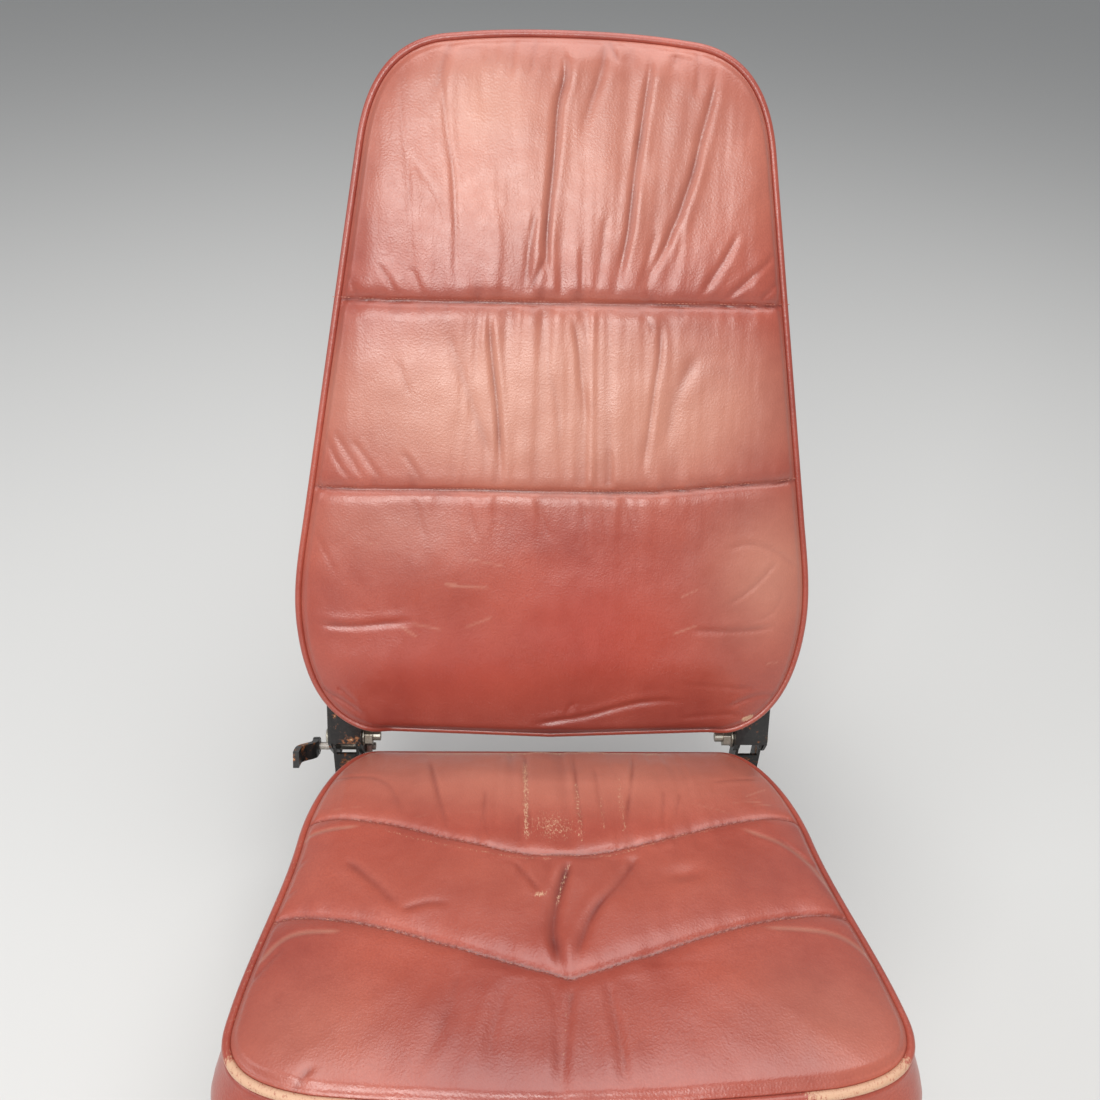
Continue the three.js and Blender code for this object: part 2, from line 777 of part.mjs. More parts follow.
function postPlateShape(bottom) {
  const shape = new THREE.Shape();
  const foot = bottom - pivotZ;
  shape.absarc(0, 0, postHead, -0.18 * Math.PI, 1.18 * Math.PI, false);
  shape.lineTo(-postNeck, -postHead);
  shape.lineTo(-postNeck, postFootTop);
  shape.lineTo(postFootFront, Math.max(foot, postFootTop - 20));
  shape.lineTo(postFootFront, foot);
  shape.lineTo(postFootRear, foot);
  shape.lineTo(postFootRear, Math.max(foot, postFootTop - 20));
  shape.lineTo(postNeck, postFootTop);
  shape.lineTo(postNeck, -postHead);
  return shape;
}

// The angles of the clamp shaft at the ends of its travel.
const clampFirst = THREE.MathUtils.degToRad(clampAngle - foldBack);
const clampLast = THREE.MathUtils.degToRad(clampAngle + foldForward);

// The quadrant that the clamp grips, before its slot is cut.
function quadrantShape() {
  const margin = quadrantMargin / clampRadius;
  const shape = new THREE.Shape();
  shape.absarc(0, 0, quadrantOuter, clampFirst - margin, clampLast + margin, false);
  shape.absarc(0, 0, quadrantRoot, clampLast + margin, clampFirst - margin, true);
  return shape;
}

function slotShape() {
  const half = shaftRadius + gap;
  const from = clampFirst - slotSpare / clampRadius;
  const to = clampLast + slotSpare / clampRadius;
  const end = (angle) => [clampRadius * Math.cos(angle), clampRadius * Math.sin(angle)];
  const slot = new THREE.Shape();
  slot.absarc(0, 0, clampRadius + half, from, to, false);
  slot.absarc(...end(to), half, to, to + Math.PI, false);
  slot.absarc(0, 0, clampRadius - half, to, from, true);
  slot.absarc(...end(from), half, from + Math.PI, from + 2 * Math.PI, false);
  return slot;
}

// The right-hand post, a pressed channel that is open to the rear.
function hingePost(withQuadrant) {
  const plates = [
    [postInner, postBottom],
    [postOuter - hingePlate, postOuterBottom],
  ];
  let pieces = plates.map(([x, bottom]) => plateAcross(postPlateShape(bottom), x, hingePlate));
  if (withQuadrant) {
    pieces = plates.map(([x], i) => cut(
      joined(pieces[i], plateAcross(quadrantShape(), x, hingePlate)),
      plateAcross(slotShape(), x - 1, hingePlate + 2)));
  }
  const web = boxBetween(
    [postInner, -postNeck, postBottom - pivotZ],
    [postOuter, -postNeck + hingePlate, -postHead - 3]);
  const bores = postBoltsAt.map((z) => rodAcross(
    postBoltSize.radius + gap, postInner - 5, postInner + 8, postBoltY, z - pivotZ));
  bores.push(rodAcross(pivotBore, postInner - 1, postOuter + 1, 0, 0));
  return cut(joined(...pieces, web), ...bores).translate(0, pivotY, pivotZ);
}

function pivotBush() {
  const clear = hingePlate + gap;
  return ringAcross(7, pivotBore, postInner + clear, postOuter - clear, pivotY, pivotZ);
}

function postBolt(z) {
  const y = pivotY + postBoltY;
  const headFace = postInner + hingePlate + gap;
  const nutFace = sidePlateOuter - sidePlate - gap;
  const nutOuter = nutFace - postBoltSize.nut;
  return joined(
    rodAcross(acrossCorners(postBoltSize.flats), headFace, headFace + postBoltSize.head, y, z, 6),
    rodAcross(postBoltSize.radius, nutOuter - postBoltSize.tail, headFace + 1, y, z, 12),
    rodAcross(acrossCorners(postBoltSize.flats), nutOuter, nutFace, y, z, 6));
}

// ---- Cushion ----

function rearDrop(t) {
  return cushionRearDrop * Math.exp(-(t - cushionRear) / cushionRearDropLength);
}

// Places on the cushion: x, then distance forwards, then height above its piping line.
function onCushion(point, height) {
  return [point.x, -point.y, height];
}

function cushionTopLoops(insetBy, lowerBy) {
  const edge = inset(cushionOutline, insetBy);
  return crownShares.map((share) => shrunk(edge, cushionCentre, share).map(
    (p) => onCushion(p, crown(cushionCrown, share) - rearDrop(p.y) - lowerBy)));
}

function seamLine({ at, dip, span }, x) {
  return at + dip * (0.5 + 0.5 * Math.cos(Math.PI * Math.min(1, Math.abs(x) / span)));
}

function cushionSlab(front, rear) {
  const xs = Array.from({ length: 17 }, (_, i) => -304 + 38 * i);
  const edge = [
    ...xs.map((x) => [x, -rear(x)]),
    ...xs.reverse().map((x) => [x, -front(x)]),
  ];
  return new THREE.ExtrudeGeometry(polygon(edge), { depth: 200, bevelEnabled: false }).translate(0, 0, -100);
}

function cushionPanels() {
  const edgeInset = 2 * pipingRadius + gap;
  const cover = loft([
    ...cushionTopLoops(edgeInset, leather).reverse(),
    ...cushionTopLoops(edgeInset, 0),
  ]);
  const [rearSeam, frontSeam] = cushionSeams;
  const far = () => 600;
  const near = () => -200;
  return [
    ['cushion_panel_rear', cushionSlab((x) => seamLine(rearSeam, x) - gap / 2, near)],
    ['cushion_panel_middle', cushionSlab(
      (x) => seamLine(frontSeam, x) - gap / 2, (x) => seamLine(rearSeam, x) + gap / 2)],
    ['cushion_panel_front', cushionSlab(far, (x) => seamLine(frontSeam, x) + gap / 2)],
  ].map(([name, slab]) => [name, common(cover, slab)]);
}

const cushionBase = -cushionDepth;

function sideBulge(share) {
  return cushionSideBulge * Math.sin(Math.PI * share);
}

// The cushion's side, as loops from under the piping down to its base.
function cushionSideLoops(insetBy, top, bottom, count) {
  return Array.from({ length: count + 1 }, (_, i) => {
    const share = i / count;
    return inset(cushionOutline, insetBy - sideBulge(share)).map((p) => {
      const start = top - rearDrop(p.y);
      return onCushion(p, start + share * (bottom - start));
    });
  });
}

function cushionBoxing() {
  const top = -(2 * pipingRadius + gap);
  const bottom = cushionBase - strapThickness;
  return loft([
    ...cushionSideLoops(boxingInset, top, bottom, 4),
    ...cushionSideLoops(boxingInset + boxingThickness, top, bottom, 4).reverse(),
  ], false);
}

function cushionFoam() {
  const sides = cushionSideLoops(boxingInset + boxingThickness + 2 * gap, -underPiping, cushionBase, 4);
  const top = cushionTopLoops(2 * pipingRadius + gap, leather + gap);
  const step = inset(cushionOutline, 2 * pipingRadius + gap).map(
    (p) => onCushion(p, -underPiping - rearDrop(p.y)));
  return loft([...top.reverse(), step, ...sides]);
}

function cushionPiping() {
  const line = inset(cushionOutline, pipingRadius);
  return pipingLoop(line.map((p) => onCushion(p, -pipingRadius - rearDrop(p.y))), [0, 0, 1]);
}

function cushionStrap(t) {
  const half = hingeX - 4;
  const top = cushionBase - gap;
  return boxBetween(
    [-half, -t - cushionStrapWidth / 2, top - strapThickness],
    [half, -t + cushionStrapWidth / 2, top]);
}

// ---- Seat frame ----

const cushionPlace = new THREE.Matrix4().compose(
  new THREE.Vector3(0, meetY, meetZ),
  new THREE.Quaternion().setFromEuler(new THREE.Euler(-THREE.MathUtils.degToRad(cushionTilt), 0, 0)),
  new THREE.Vector3(1, 1, 1));

const flangeTop = cushionBase - 2 * gap - strapThickness;
const flangeBottom = runnerTop + gap;
const bottomFlangeInner = railX - slideBoltOffset - 9;

function cushionToSeat(t, height) {
  const place = new THREE.Vector3(0, -t, height).applyMatrix4(cushionPlace);
  return [place.y, place.z];
}

// The right-hand side plate, with a flange under the cushion and one on the runner.
function sidePlateBody() {
  const [frontY, frontZ] = cushionToSeat(sidePlateFront, flangeTop - 0.5);
  const [rearY, rearZ] = cushionToSeat(0, flangeTop - 0.5);
  const wall = plateAcross(polygon([
    [frontY, flangeBottom + 40],
    [frontY + 60, flangeBottom],
    [sidePlateRearY, flangeBottom],
    [sidePlateRearY, rearZ],
    [rearY, rearZ],
    [frontY, frontZ],
  ]), sidePlateOuter - sidePlate, sidePlate);
  const topFlange = boxBetween(
    [sidePlateOuter - topFlangeWidth, -sidePlateFront, flangeTop - sidePlate],
    [sidePlateOuter - 0.01, 0, flangeTop]).applyMatrix4(cushionPlace);
  const bottomFlange = boxBetween(
    [bottomFlangeInner, frontY + 60, flangeBottom],
    [sidePlateOuter - 0.01, sidePlateRearY, flangeBottom + sidePlate]);
  const bores = [
    rodAcross(catchRodRadius + gap, sidePlateOuter - 6, sidePlateOuter + 1, catchY, catchZ),
    ...postBoltsAt.map((z) => rodAcross(
      postBoltSize.radius + gap, sidePlateOuter - 6, sidePlateOuter + 1, pivotY + postBoltY, z)),
    ...slideBoltYs.map((y) => rodUp(3 + gap, railX - slideBoltOffset, y, 20, 40)),
  ];
  return cut(joined(wall, topFlange, bottomFlange), ...bores);
}

const slideBoltYs = [-1, 1].map((end) => railCentreY + end * slideBoltSpacing / 2);

function seatCrossTubes() {
  const end = sidePlateOuter - sidePlate - gap;
  const [frontY, frontZ] = cushionToSeat(frontCrossAt, flangeTop - sidePlate - gap - crossTubeRadius - 1);
  const tube = (y, z) => tubeAlong(
    new THREE.LineCurve3(new THREE.Vector3(-end, y, z), new THREE.Vector3(end, y, z)),
    crossTubeRadius, crossTubeWall, 1, 10);
  return [
    ['front_cross_tube', tube(frontY, frontZ)],
    ['rear_cross_tube', tube(rearCrossY, rearCrossZ)],
  ];
}

// ---- Runners ----

function lowerRail() {
  const half = railWidth / 2;
  const inner = half - railWall;
  const lip = runnerNeck / 2 + railPlay;
  const profile = polygon([
    [-half - latchFlange, 0],
    [half, 0],
    [half, railHeight],
    [lip, railHeight],
    [lip, railHeight - railWall],
    [inner, railHeight - railWall],
    [inner, railWall],
    [-inner, railWall],
    [-inner, railHeight - railWall],
    [-lip, railHeight - railWall],
    [-lip, railHeight],
    [-half, railHeight],
    [-half, railWall],
    [-half - latchFlange, railWall],
  ]);
  const rail = barAlong(profile, railCentreY, railLength).translate(railX, 0, 0);
  const cutters = [];
  for (let i = 0; i < latchHoles; i += 1) {
    const y = catchY - tongueReach + (i - (latchHoles - 1) / 2) * latchPitch;
    const x = tongueX;
    cutters.push(boxBetween(
      [x - tongueWidth / 2 - 1.5, y - latchHoleLength / 2, -1],
      [x + tongueWidth / 2 + 1.5, y + latchHoleLength / 2, railWall + 1]));
  }
  for (const end of [-1, 1]) {
    cutters.push(rodUp(4.25, railX, railCentreY + end * (railLength / 2 - 20), -1, railWall + 1, 12));
  }
  return cut(rail, ...cutters);
}

const tongueX = railX - railWidth / 2 - latchFlange / 2 - 1;
const footBottom = railWall + gap + slideThickness + gap;

// The sliding half: a foot under the rail's lips, a hollow neck between them and a flange on top.
function upperRail() {
  const foot = runnerFoot / 2;
  const neck = runnerNeck / 2;
  const footTop = footBottom + runnerFlange;
  const topFlangeInner = -slideBoltOffset - 8;
  const shape = polygon([
    [-foot, footBottom], [foot, footBottom], [foot, footTop], [neck, footTop],
    [neck, runnerTop - runnerFlange], [neck + 8, runnerTop - runnerFlange], [neck + 8, runnerTop],
    [topFlangeInner, runnerTop], [topFlangeInner, runnerTop - runnerFlange],
    [-neck, runnerTop - runnerFlange], [-neck, footTop], [-foot, footTop],
  ]);
  const rail = barAlong(shape, railCentreY, runnerLength).translate(railX, 0, 0);
  const hollow = boxBetween(
    [railX - neck + runnerFlange, railCentreY - railLength, footTop],
    [railX + neck - runnerFlange, railCentreY + railLength, runnerTop - runnerFlange]);
  return cut(rail, hollow, ...slideBoltYs.map((y) => rodUp(
    3 + gap, railX - slideBoltOffset, y, runnerTop - 6, runnerTop + 3)));
}

function runnerSlide() {
  const half = runnerFoot / 2;
  return boxBetween(
    [railX - half, railCentreY - runnerLength / 2 + 5, railWall + gap],
    [railX + half, railCentreY + runnerLength / 2 - 5, railWall + gap + slideThickness]);
}

function runnerBolt(y) {
  const x = railX - slideBoltOffset;
  const headFace = flangeBottom + sidePlate + gap;
  const nutFace = runnerTop - runnerFlange - gap;
  return joined(
    rodUp(acrossCorners(10), x, y, headFace, headFace + 4, 6),
    rodUp(3, x, y, nutFace - 6, headFace + 1, 12),
    rodUp(acrossCorners(10), x, y, nutFace - 5, nutFace, 6));
}

// ---- Slide catch ----

const catchTip = new THREE.Vector3(0, catchY - catchLeverForward, catchZ + catchLeverRise);
const catchAlong = catchTip.clone().sub(new THREE.Vector3(0, catchY, catchZ)).normalize();

function catchBar() {
  const tongueBottom = railWall + tongueClear;
  const tongue = polygon([
    [catchY + 4, catchZ - 4],
    [catchY + 4, catchZ + 4],
    [catchY - tongueReach - tongueLength / 2, catchZ - 12],
    [catchY - tongueReach - tongueLength / 2, tongueBottom],
    [catchY - tongueReach + tongueLength / 2, tongueBottom],
    [catchY - tongueReach + tongueLength / 2, catchZ - 18],
  ]);
  const rod = rodAcross(catchRodRadius, -catchRodEnd, catchRodEnd, catchY, catchZ, 12);
  const lever = wireAlong(
    new THREE.LineCurve3(new THREE.Vector3(0, catchY, catchZ), catchTip), catchRodRadius, 1, 12);
  const right = plateAcross(tongue, tongueX - tongueWidth / 2, tongueWidth);
  return joined(rod, lever, right, mirrored(right));
}

// A moulded sleeve with a closed end, over the tip of the catch lever.
function catchGrip() {
  const bore = catchRodRadius + gap;
  const profile = [
    [bore, -gripLength], [gripRadius - 3, -gripLength], [gripRadius, -gripLength + 6], [gripRadius - 1, -40],
    [gripRadius + 1, -8], [gripRadius - 2, 4], [0, 8], [0, gap], [bore, gap],
  ].map(([r, along]) => new THREE.Vector2(r, along));
  const closed = [...profile, profile[0].clone()];
  const grip = new THREE.LatheGeometry(closed, 14);
  const turn = new THREE.Quaternion().setFromUnitVectors(new THREE.Vector3(0, 1, 0), catchAlong);
  return geometryOf(solid(outwardFacing(grip.applyQuaternion(turn).translate(...catchTip.toArray()))));
}

function outwardFacing(geometry) {
  const merged = mergeVertices(bareCopy(geometry), 1e-4);
  if (signedVolume(merged) > 0) return merged;
  merged.setIndex(Array.from(merged.index.array).reverse());
  return merged;
}

function bareCopy(geometry) {
  const bare = geometry.clone();
  for (const name of ['normal', 'uv']) bare.deleteAttribute(name);
  return bare;
}

// The torsion spring that holds the catch down, wound round its rod.
class SpringLine extends THREE.Curve {
  getPoint(share) {
    const legLength = 24;
    const coils = 2 * Math.PI * springTurns;
    const pitch = 2 * springWire + 0.5;
    const legShare = 0.12;
    const wound = THREE.MathUtils.clamp((share - legShare) / (1 - 2 * legShare), 0, 1);
    const angle = coils * wound;
    const x = springX + pitch * springTurns * wound;
    const leg = Math.max(0, legShare - share, share - 1 + legShare) / legShare * legLength;
    const side = share < 0.5 ? -1 : 1;
    return new THREE.Vector3(
      x,
      catchY + springCoil * Math.sin(angle) + side * leg,
      catchZ + springCoil * Math.cos(angle));
  }
}

function catchSpring() {
  return wireAlong(new SpringLine(), springWire, 64, 6);
}

// ---- Assembly ----

const seat = new THREE.Group();
const cushion = new THREE.Group();
const back = new THREE.Group();
cushion.position.set(0, meetY, meetZ);
cushion.rotation.x = -THREE.MathUtils.degToRad(cushionTilt);
back.position.set(0, meetY, meetZ);
back.rotation.x = -lean;
seat.add(cushion, back);

function add(group, name, geometry, look) {
  const mesh = new THREE.Mesh(geometry, finish[look]());
  mesh.name = name;
  group.add(mesh);
}

// A piece modelled on the right, with its mirror image on the left.
function addPair(group, name, right, look, left = mirrored(right)) {
  add(group, `${name}_left`, left, look);
  add(group, `${name}_right`, right, look);
}

addPair(seat, 'lower_rail', lowerRail(), 'greyPaint');
addPair(seat, 'upper_rail', upperRail(), 'zinc');
addPair(seat, 'runner_slide', runnerSlide(), 'nylon');
slideBoltYs.forEach((y, i) => addPair(seat, `runner_bolt_${i ? 'rear' : 'front'}`, runnerBolt(y), 'zinc'));

addPair(seat, 'side_plate', sidePlateBody(), 'greyPaint');
seatCrossTubes().forEach(([name, tube]) => add(seat, name, tube, 'greyPaint'));

addPair(seat, 'hinge_post', hingePost(false), 'blackPaint', mirrored(hingePost(true)));
addPair(seat, 'pivot_bush', pivotBush(), 'bronze');
postBoltsAt.forEach((z, i) => addPair(seat, `post_bolt_${i ? 'upper' : 'lower'}`, postBolt(z), 'zinc'));

add(seat, 'catch_bar', catchBar(), 'zinc');
add(seat, 'catch_grip', catchGrip(), 'plastic');
add(seat, 'catch_spring', catchSpring(), 'steel');

cushionStrapsAt.forEach((t, i) => add(cushion, `cushion_strap_${i + 1}`, cushionStrap(t), 'webbing'));
add(cushion, 'cushion_foam', cushionFoam(), 'foam');
cushionPanels().forEach(([name, panel]) => add(cushion, name, panel, 'leather'));
add(cushion, 'cushion_boxing', cushionBoxing(), 'leather');
add(cushion, 'cushion_piping', cushionPiping(), 'piping');

addPair(back, 'hinge_block', hingeBlock(false), 'blackPaint', mirrored(hingeBlock(true)));
addPair(back, 'pivot_bolt', pivotBolt(), 'steel');
addPair(back, 'pivot_washer', pivotWasher(), 'steel');
addPair(back, 'pivot_nut', pivotNut(), 'steel');
add(back, 'clamp_nut', clampNut(), 'steel');
addPair(back, 'back_side_tube', sideTube(), 'greyPaint');
backCrossTubes().forEach(([name, tube]) => add(back, name, tube, 'greyPaint'));
backStrapsAt.forEach((height, i) => add(back, `back_strap_${i + 1}`, backStrap(height), 'webbing'));
add(back, 'back_foam', backFoam(), 'foam');
backPanels().forEach(([name, panel]) => add(back, name, panel, 'leather'));
add(back, 'back_boxing', backBoxing(), 'leather');
add(back, 'back_piping', backPiping(), 'piping');
add(back, 'back_rear_panel', backRearPanel(), 'vinyl');

add(seat, 'clamp_shaft', clampShaft(), 'steel');
add(seat, 'clamp_lever', clampLever(), 'blackPaint');

export default seat;
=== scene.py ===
import json
import math

import bpy
import numpy as np
from mathutils import Matrix, Vector
from mathutils.kdtree import KDTree


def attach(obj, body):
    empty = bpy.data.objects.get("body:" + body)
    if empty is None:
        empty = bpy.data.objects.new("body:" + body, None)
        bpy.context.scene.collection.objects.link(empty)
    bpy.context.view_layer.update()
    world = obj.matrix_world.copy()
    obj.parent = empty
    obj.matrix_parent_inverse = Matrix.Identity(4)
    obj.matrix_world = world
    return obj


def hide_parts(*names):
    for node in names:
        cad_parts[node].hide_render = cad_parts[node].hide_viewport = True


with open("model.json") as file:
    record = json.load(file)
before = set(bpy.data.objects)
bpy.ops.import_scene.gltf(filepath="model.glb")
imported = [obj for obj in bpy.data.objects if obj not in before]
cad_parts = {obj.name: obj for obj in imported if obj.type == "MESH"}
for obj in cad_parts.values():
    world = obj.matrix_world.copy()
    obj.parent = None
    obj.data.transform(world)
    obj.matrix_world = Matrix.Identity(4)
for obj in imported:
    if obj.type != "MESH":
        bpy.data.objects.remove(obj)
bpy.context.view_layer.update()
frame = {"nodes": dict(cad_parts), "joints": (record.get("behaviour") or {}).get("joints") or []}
nodes = frame["nodes"]
bpy.ops.object.select_all(action="DESELECT")
print("frame loaded:", len(nodes), "nodes")

mm = 0.001  # the soft goods are drawn in millimetres and placed in metres

seat = {
    "lean": math.radians(20),  # of the back, from upright
    "tilt": math.radians(12.5),  # of the cushion, from level
    "pivotBehind": 28.3,  # how far the hinge lies behind the face of the back
    "pivotUp": -4.6,  # and how far up it
}

hinge = next(joint for joint in frame["joints"] if joint["name"] == "back_recline")
pivot = Vector(hinge["pos_m"]) / mm
upBack = Vector((0, math.sin(seat["lean"]), math.cos(seat["lean"])))
outBack = Vector((0, -math.cos(seat["lean"]), math.sin(seat["lean"])))
meet = pivot + seat["pivotBehind"] * outBack - seat["pivotUp"] * upBack
backPlace = {"origin": meet, "along": upBack, "out": outBack, "flip": False}
cushionPlace = {
    "origin": meet,
    "along": Vector((0, -math.cos(seat["tilt"]), math.sin(seat["tilt"]))),  # forwards
    "out": Vector((0, math.sin(seat["tilt"]), math.cos(seat["tilt"]))),
    "flip": True,
}


# Rows of x, distance along the pad and height out of its face become places in metres.
def placed(rows, place):
    rows = np.asarray(rows, float)
    axes = np.array([[1, 0, 0], place["along"], place["out"]], float)
    return (np.array(place["origin"], float) + rows @ axes) * mm


camera = {
    "place": (-0.0644, -0.7149, 1.0381),
    "yaw": 3.869,  # degrees to the right of straight ahead
    "pitch": 36.176,  # degrees down
    "roll": -3.034,
    "lens": 36.35,
    "sensor": 36,
    "clip": (0.02, 50),
}


def makeCamera():
    yaw, pitch, roll = (math.radians(camera[k]) for k in ("yaw", "pitch", "roll"))
    ahead = Vector((math.sin(yaw) * math.cos(pitch), math.cos(yaw) * math.cos(pitch), -math.sin(pitch)))
    level = Vector((math.cos(yaw), -math.sin(yaw), 0))
    down = ahead.cross(level)
    right = level * math.cos(roll) + down * math.sin(roll)
    up = level * math.sin(roll) - down * math.cos(roll)
    data = bpy.data.cameras.new("camera")
    data.lens = camera["lens"]
    data.sensor_width = camera["sensor"]
    data.clip_start, data.clip_end = camera["clip"]
    holder = bpy.data.objects.new("camera", data)
    turn = Matrix((right, up, -ahead)).transposed().to_4x4()
    holder.matrix_world = Matrix.Translation(camera["place"]) @ turn
    bpy.context.scene.collection.objects.link(holder)
    bpy.context.scene.camera = holder


lamps = {  # place, what it points at, size, watts, colour
    "front": ((-0.5, -2.6, 1.9), (0, 0.1, 0.45), (2.0, 0.9), 66, (1, 0.985, 0.96)),
    "overhead": ((0.2, 0.2, 2.7), (0, 0, 0.2), (2.6, 2.6), 60, (1, 0.99, 0.98)),
    "left": ((-2.4, -0.6, 1.6), (0, 0, 0.4), (1.4, 1.4), 14, (0.96, 0.98, 1)),
}

studio = {
    "sky": (0.95, 0.97, 1, 1),
    "skyStrength": 0.33,
    "floorSize": 14,
    "floorTone": (0.62, 0.62, 0.61, 1),
    "floorRoughness": 0.85,
}


def makeLight():
    for name, (place, target, size, watts, color) in lamps.items():
        data = bpy.data.lights.new(name, "AREA")
        data.shape = "RECTANGLE"
        data.size, data.size_y = size
        data.energy = watts
        data.color = color
        lamp = bpy.data.objects.new(name, data)
        lamp.location = place
        lamp.rotation_euler = (Vector(target) - Vector(place)).to_track_quat("-Z", "Y").to_euler()
        bpy.context.scene.collection.objects.link(lamp)
    world = bpy.data.worlds.new("studio")
    world.use_nodes = True
    sky = world.node_tree.nodes["Background"]
    sky.inputs["Color"].default_value = studio["sky"]
    sky.inputs["Strength"].default_value = studio["skyStrength"]
    bpy.context.scene.world = world
    bpy.context.scene.view_settings.view_transform = "Standard"


def makeFloor():
    bpy.ops.mesh.primitive_plane_add(size=studio["floorSize"])
    floor = bpy.context.object
    floor.name = "floor"
    material = bpy.data.materials.new("floor")
    material.use_nodes = True
    shader = material.node_tree.nodes["Principled BSDF"]
    shader.inputs["Base Color"].default_value = studio["floorTone"]
    shader.inputs["Roughness"].default_value = studio["floorRoughness"]
    floor.data.materials.append(material)


def shaderTree(name):
    material = bpy.data.materials.new(name)
    material.use_nodes = True
    tree = material.node_tree
    return material, tree, tree.nodes["Principled BSDF"]


def addNode(tree, kind, settings=(), **values):
    made = tree.nodes.new(kind)
    for key, value in dict(settings).items():
        setattr(made, key, value)
    for key, value in values.items():
        made.inputs[key].default_value = value
    return made


def objectPlace(tree, stretch=(1, 1, 1)):
    source = addNode(tree, "ShaderNodeTexCoord")
    if stretch == (1, 1, 1):
        return source.outputs["Object"]
    mapping = addNode(tree, "ShaderNodeMapping", Scale=stretch)
    tree.links.new(source.outputs["Object"], mapping.inputs["Vector"])
    return mapping.outputs["Vector"]


def noiseOn(tree, place, scale, detail=3, roughness=0.5):
    made = addNode(tree, "ShaderNodeTexNoise", Scale=scale, Detail=detail, Roughness=roughness)
    tree.links.new(place, made.inputs["Vector"])
    return made.outputs["Fac"]


def cellsOn(tree, place, scale, feature="F1"):
    made = addNode(tree, "ShaderNodeTexVoronoi", {"feature": feature}, Scale=scale)
    tree.links.new(place, made.inputs["Vector"])
    return made.outputs["Distance"]


def attributeOf(tree, name):
    return addNode(tree, "ShaderNodeAttribute", {"attribute_name": name}).outputs["Fac"]


# Turns a range of values into 0 to 1, or into another range.
def ranged(tree, value, low, high, toLow=0, toHigh=1):
    made = addNode(tree, "ShaderNodeMapRange", **{"From Min": low, "From Max": high})
    made.inputs["To Min"].default_value = toLow
    made.inputs["To Max"].default_value = toHigh
    tree.links.new(value, made.inputs["Value"])
    return made.outputs["Result"]


def sums(tree, operation, first, second):
    made = addNode(tree, "ShaderNodeMath", {"operation": operation})
    for socket, value in zip(made.inputs, (first, second)):
        if isinstance(value, (int, float)):
            socket.default_value = value
        else:
            tree.links.new(value, socket)
    return made.outputs["Value"]


def mixed(tree, share, first, second):
    made = addNode(tree, "ShaderNodeMix", {"data_type": "RGBA"})
    for socket, value in ((made.inputs[0], share), (made.inputs[6], first), (made.inputs[7], second)):
        if isinstance(value, (int, float)):
            socket.default_value = value
        elif isinstance(value, tuple):
            socket.default_value = (*value, 1)
        else:
            tree.links.new(value, socket)
    return made.outputs[2]


def bumped(tree, height, strength, distance, under=None):
    made = addNode(tree, "ShaderNodeBump", Strength=strength, Distance=distance)
    tree.links.new(height, made.inputs["Height"])
    if under is not None:
        tree.links.new(under, made.inputs["Normal"])
    return made.outputs["Normal"]


markNames = ("shadedCrease", "wear", "polish", "dustAndSheen")  # what the leather reads from its mesh

leather = {
    "deep": (0.26, 0.034, 0.020),
    "fair": (0.41, 0.080, 0.047),
    "polished": (0.43, 0.046, 0.028),  # where the finish has been rubbed thin
    # painted shade: the colour laid into creases, seams and folds
    "shadedCrease": (0.13, 0.014, 0.010),
    "bare": (0.62, 0.40, 0.25),  # hide that shows through worn finish
    # faded finish together with a painted sheen that stands in for highlights
    "fadedAndSheen": (0.55, 0.26, 0.18),
    "grain": 620,  # pebbles in a metre
    "sheen": 0.08,
    "sheenTint": (1, 0.82, 0.76, 1),
}


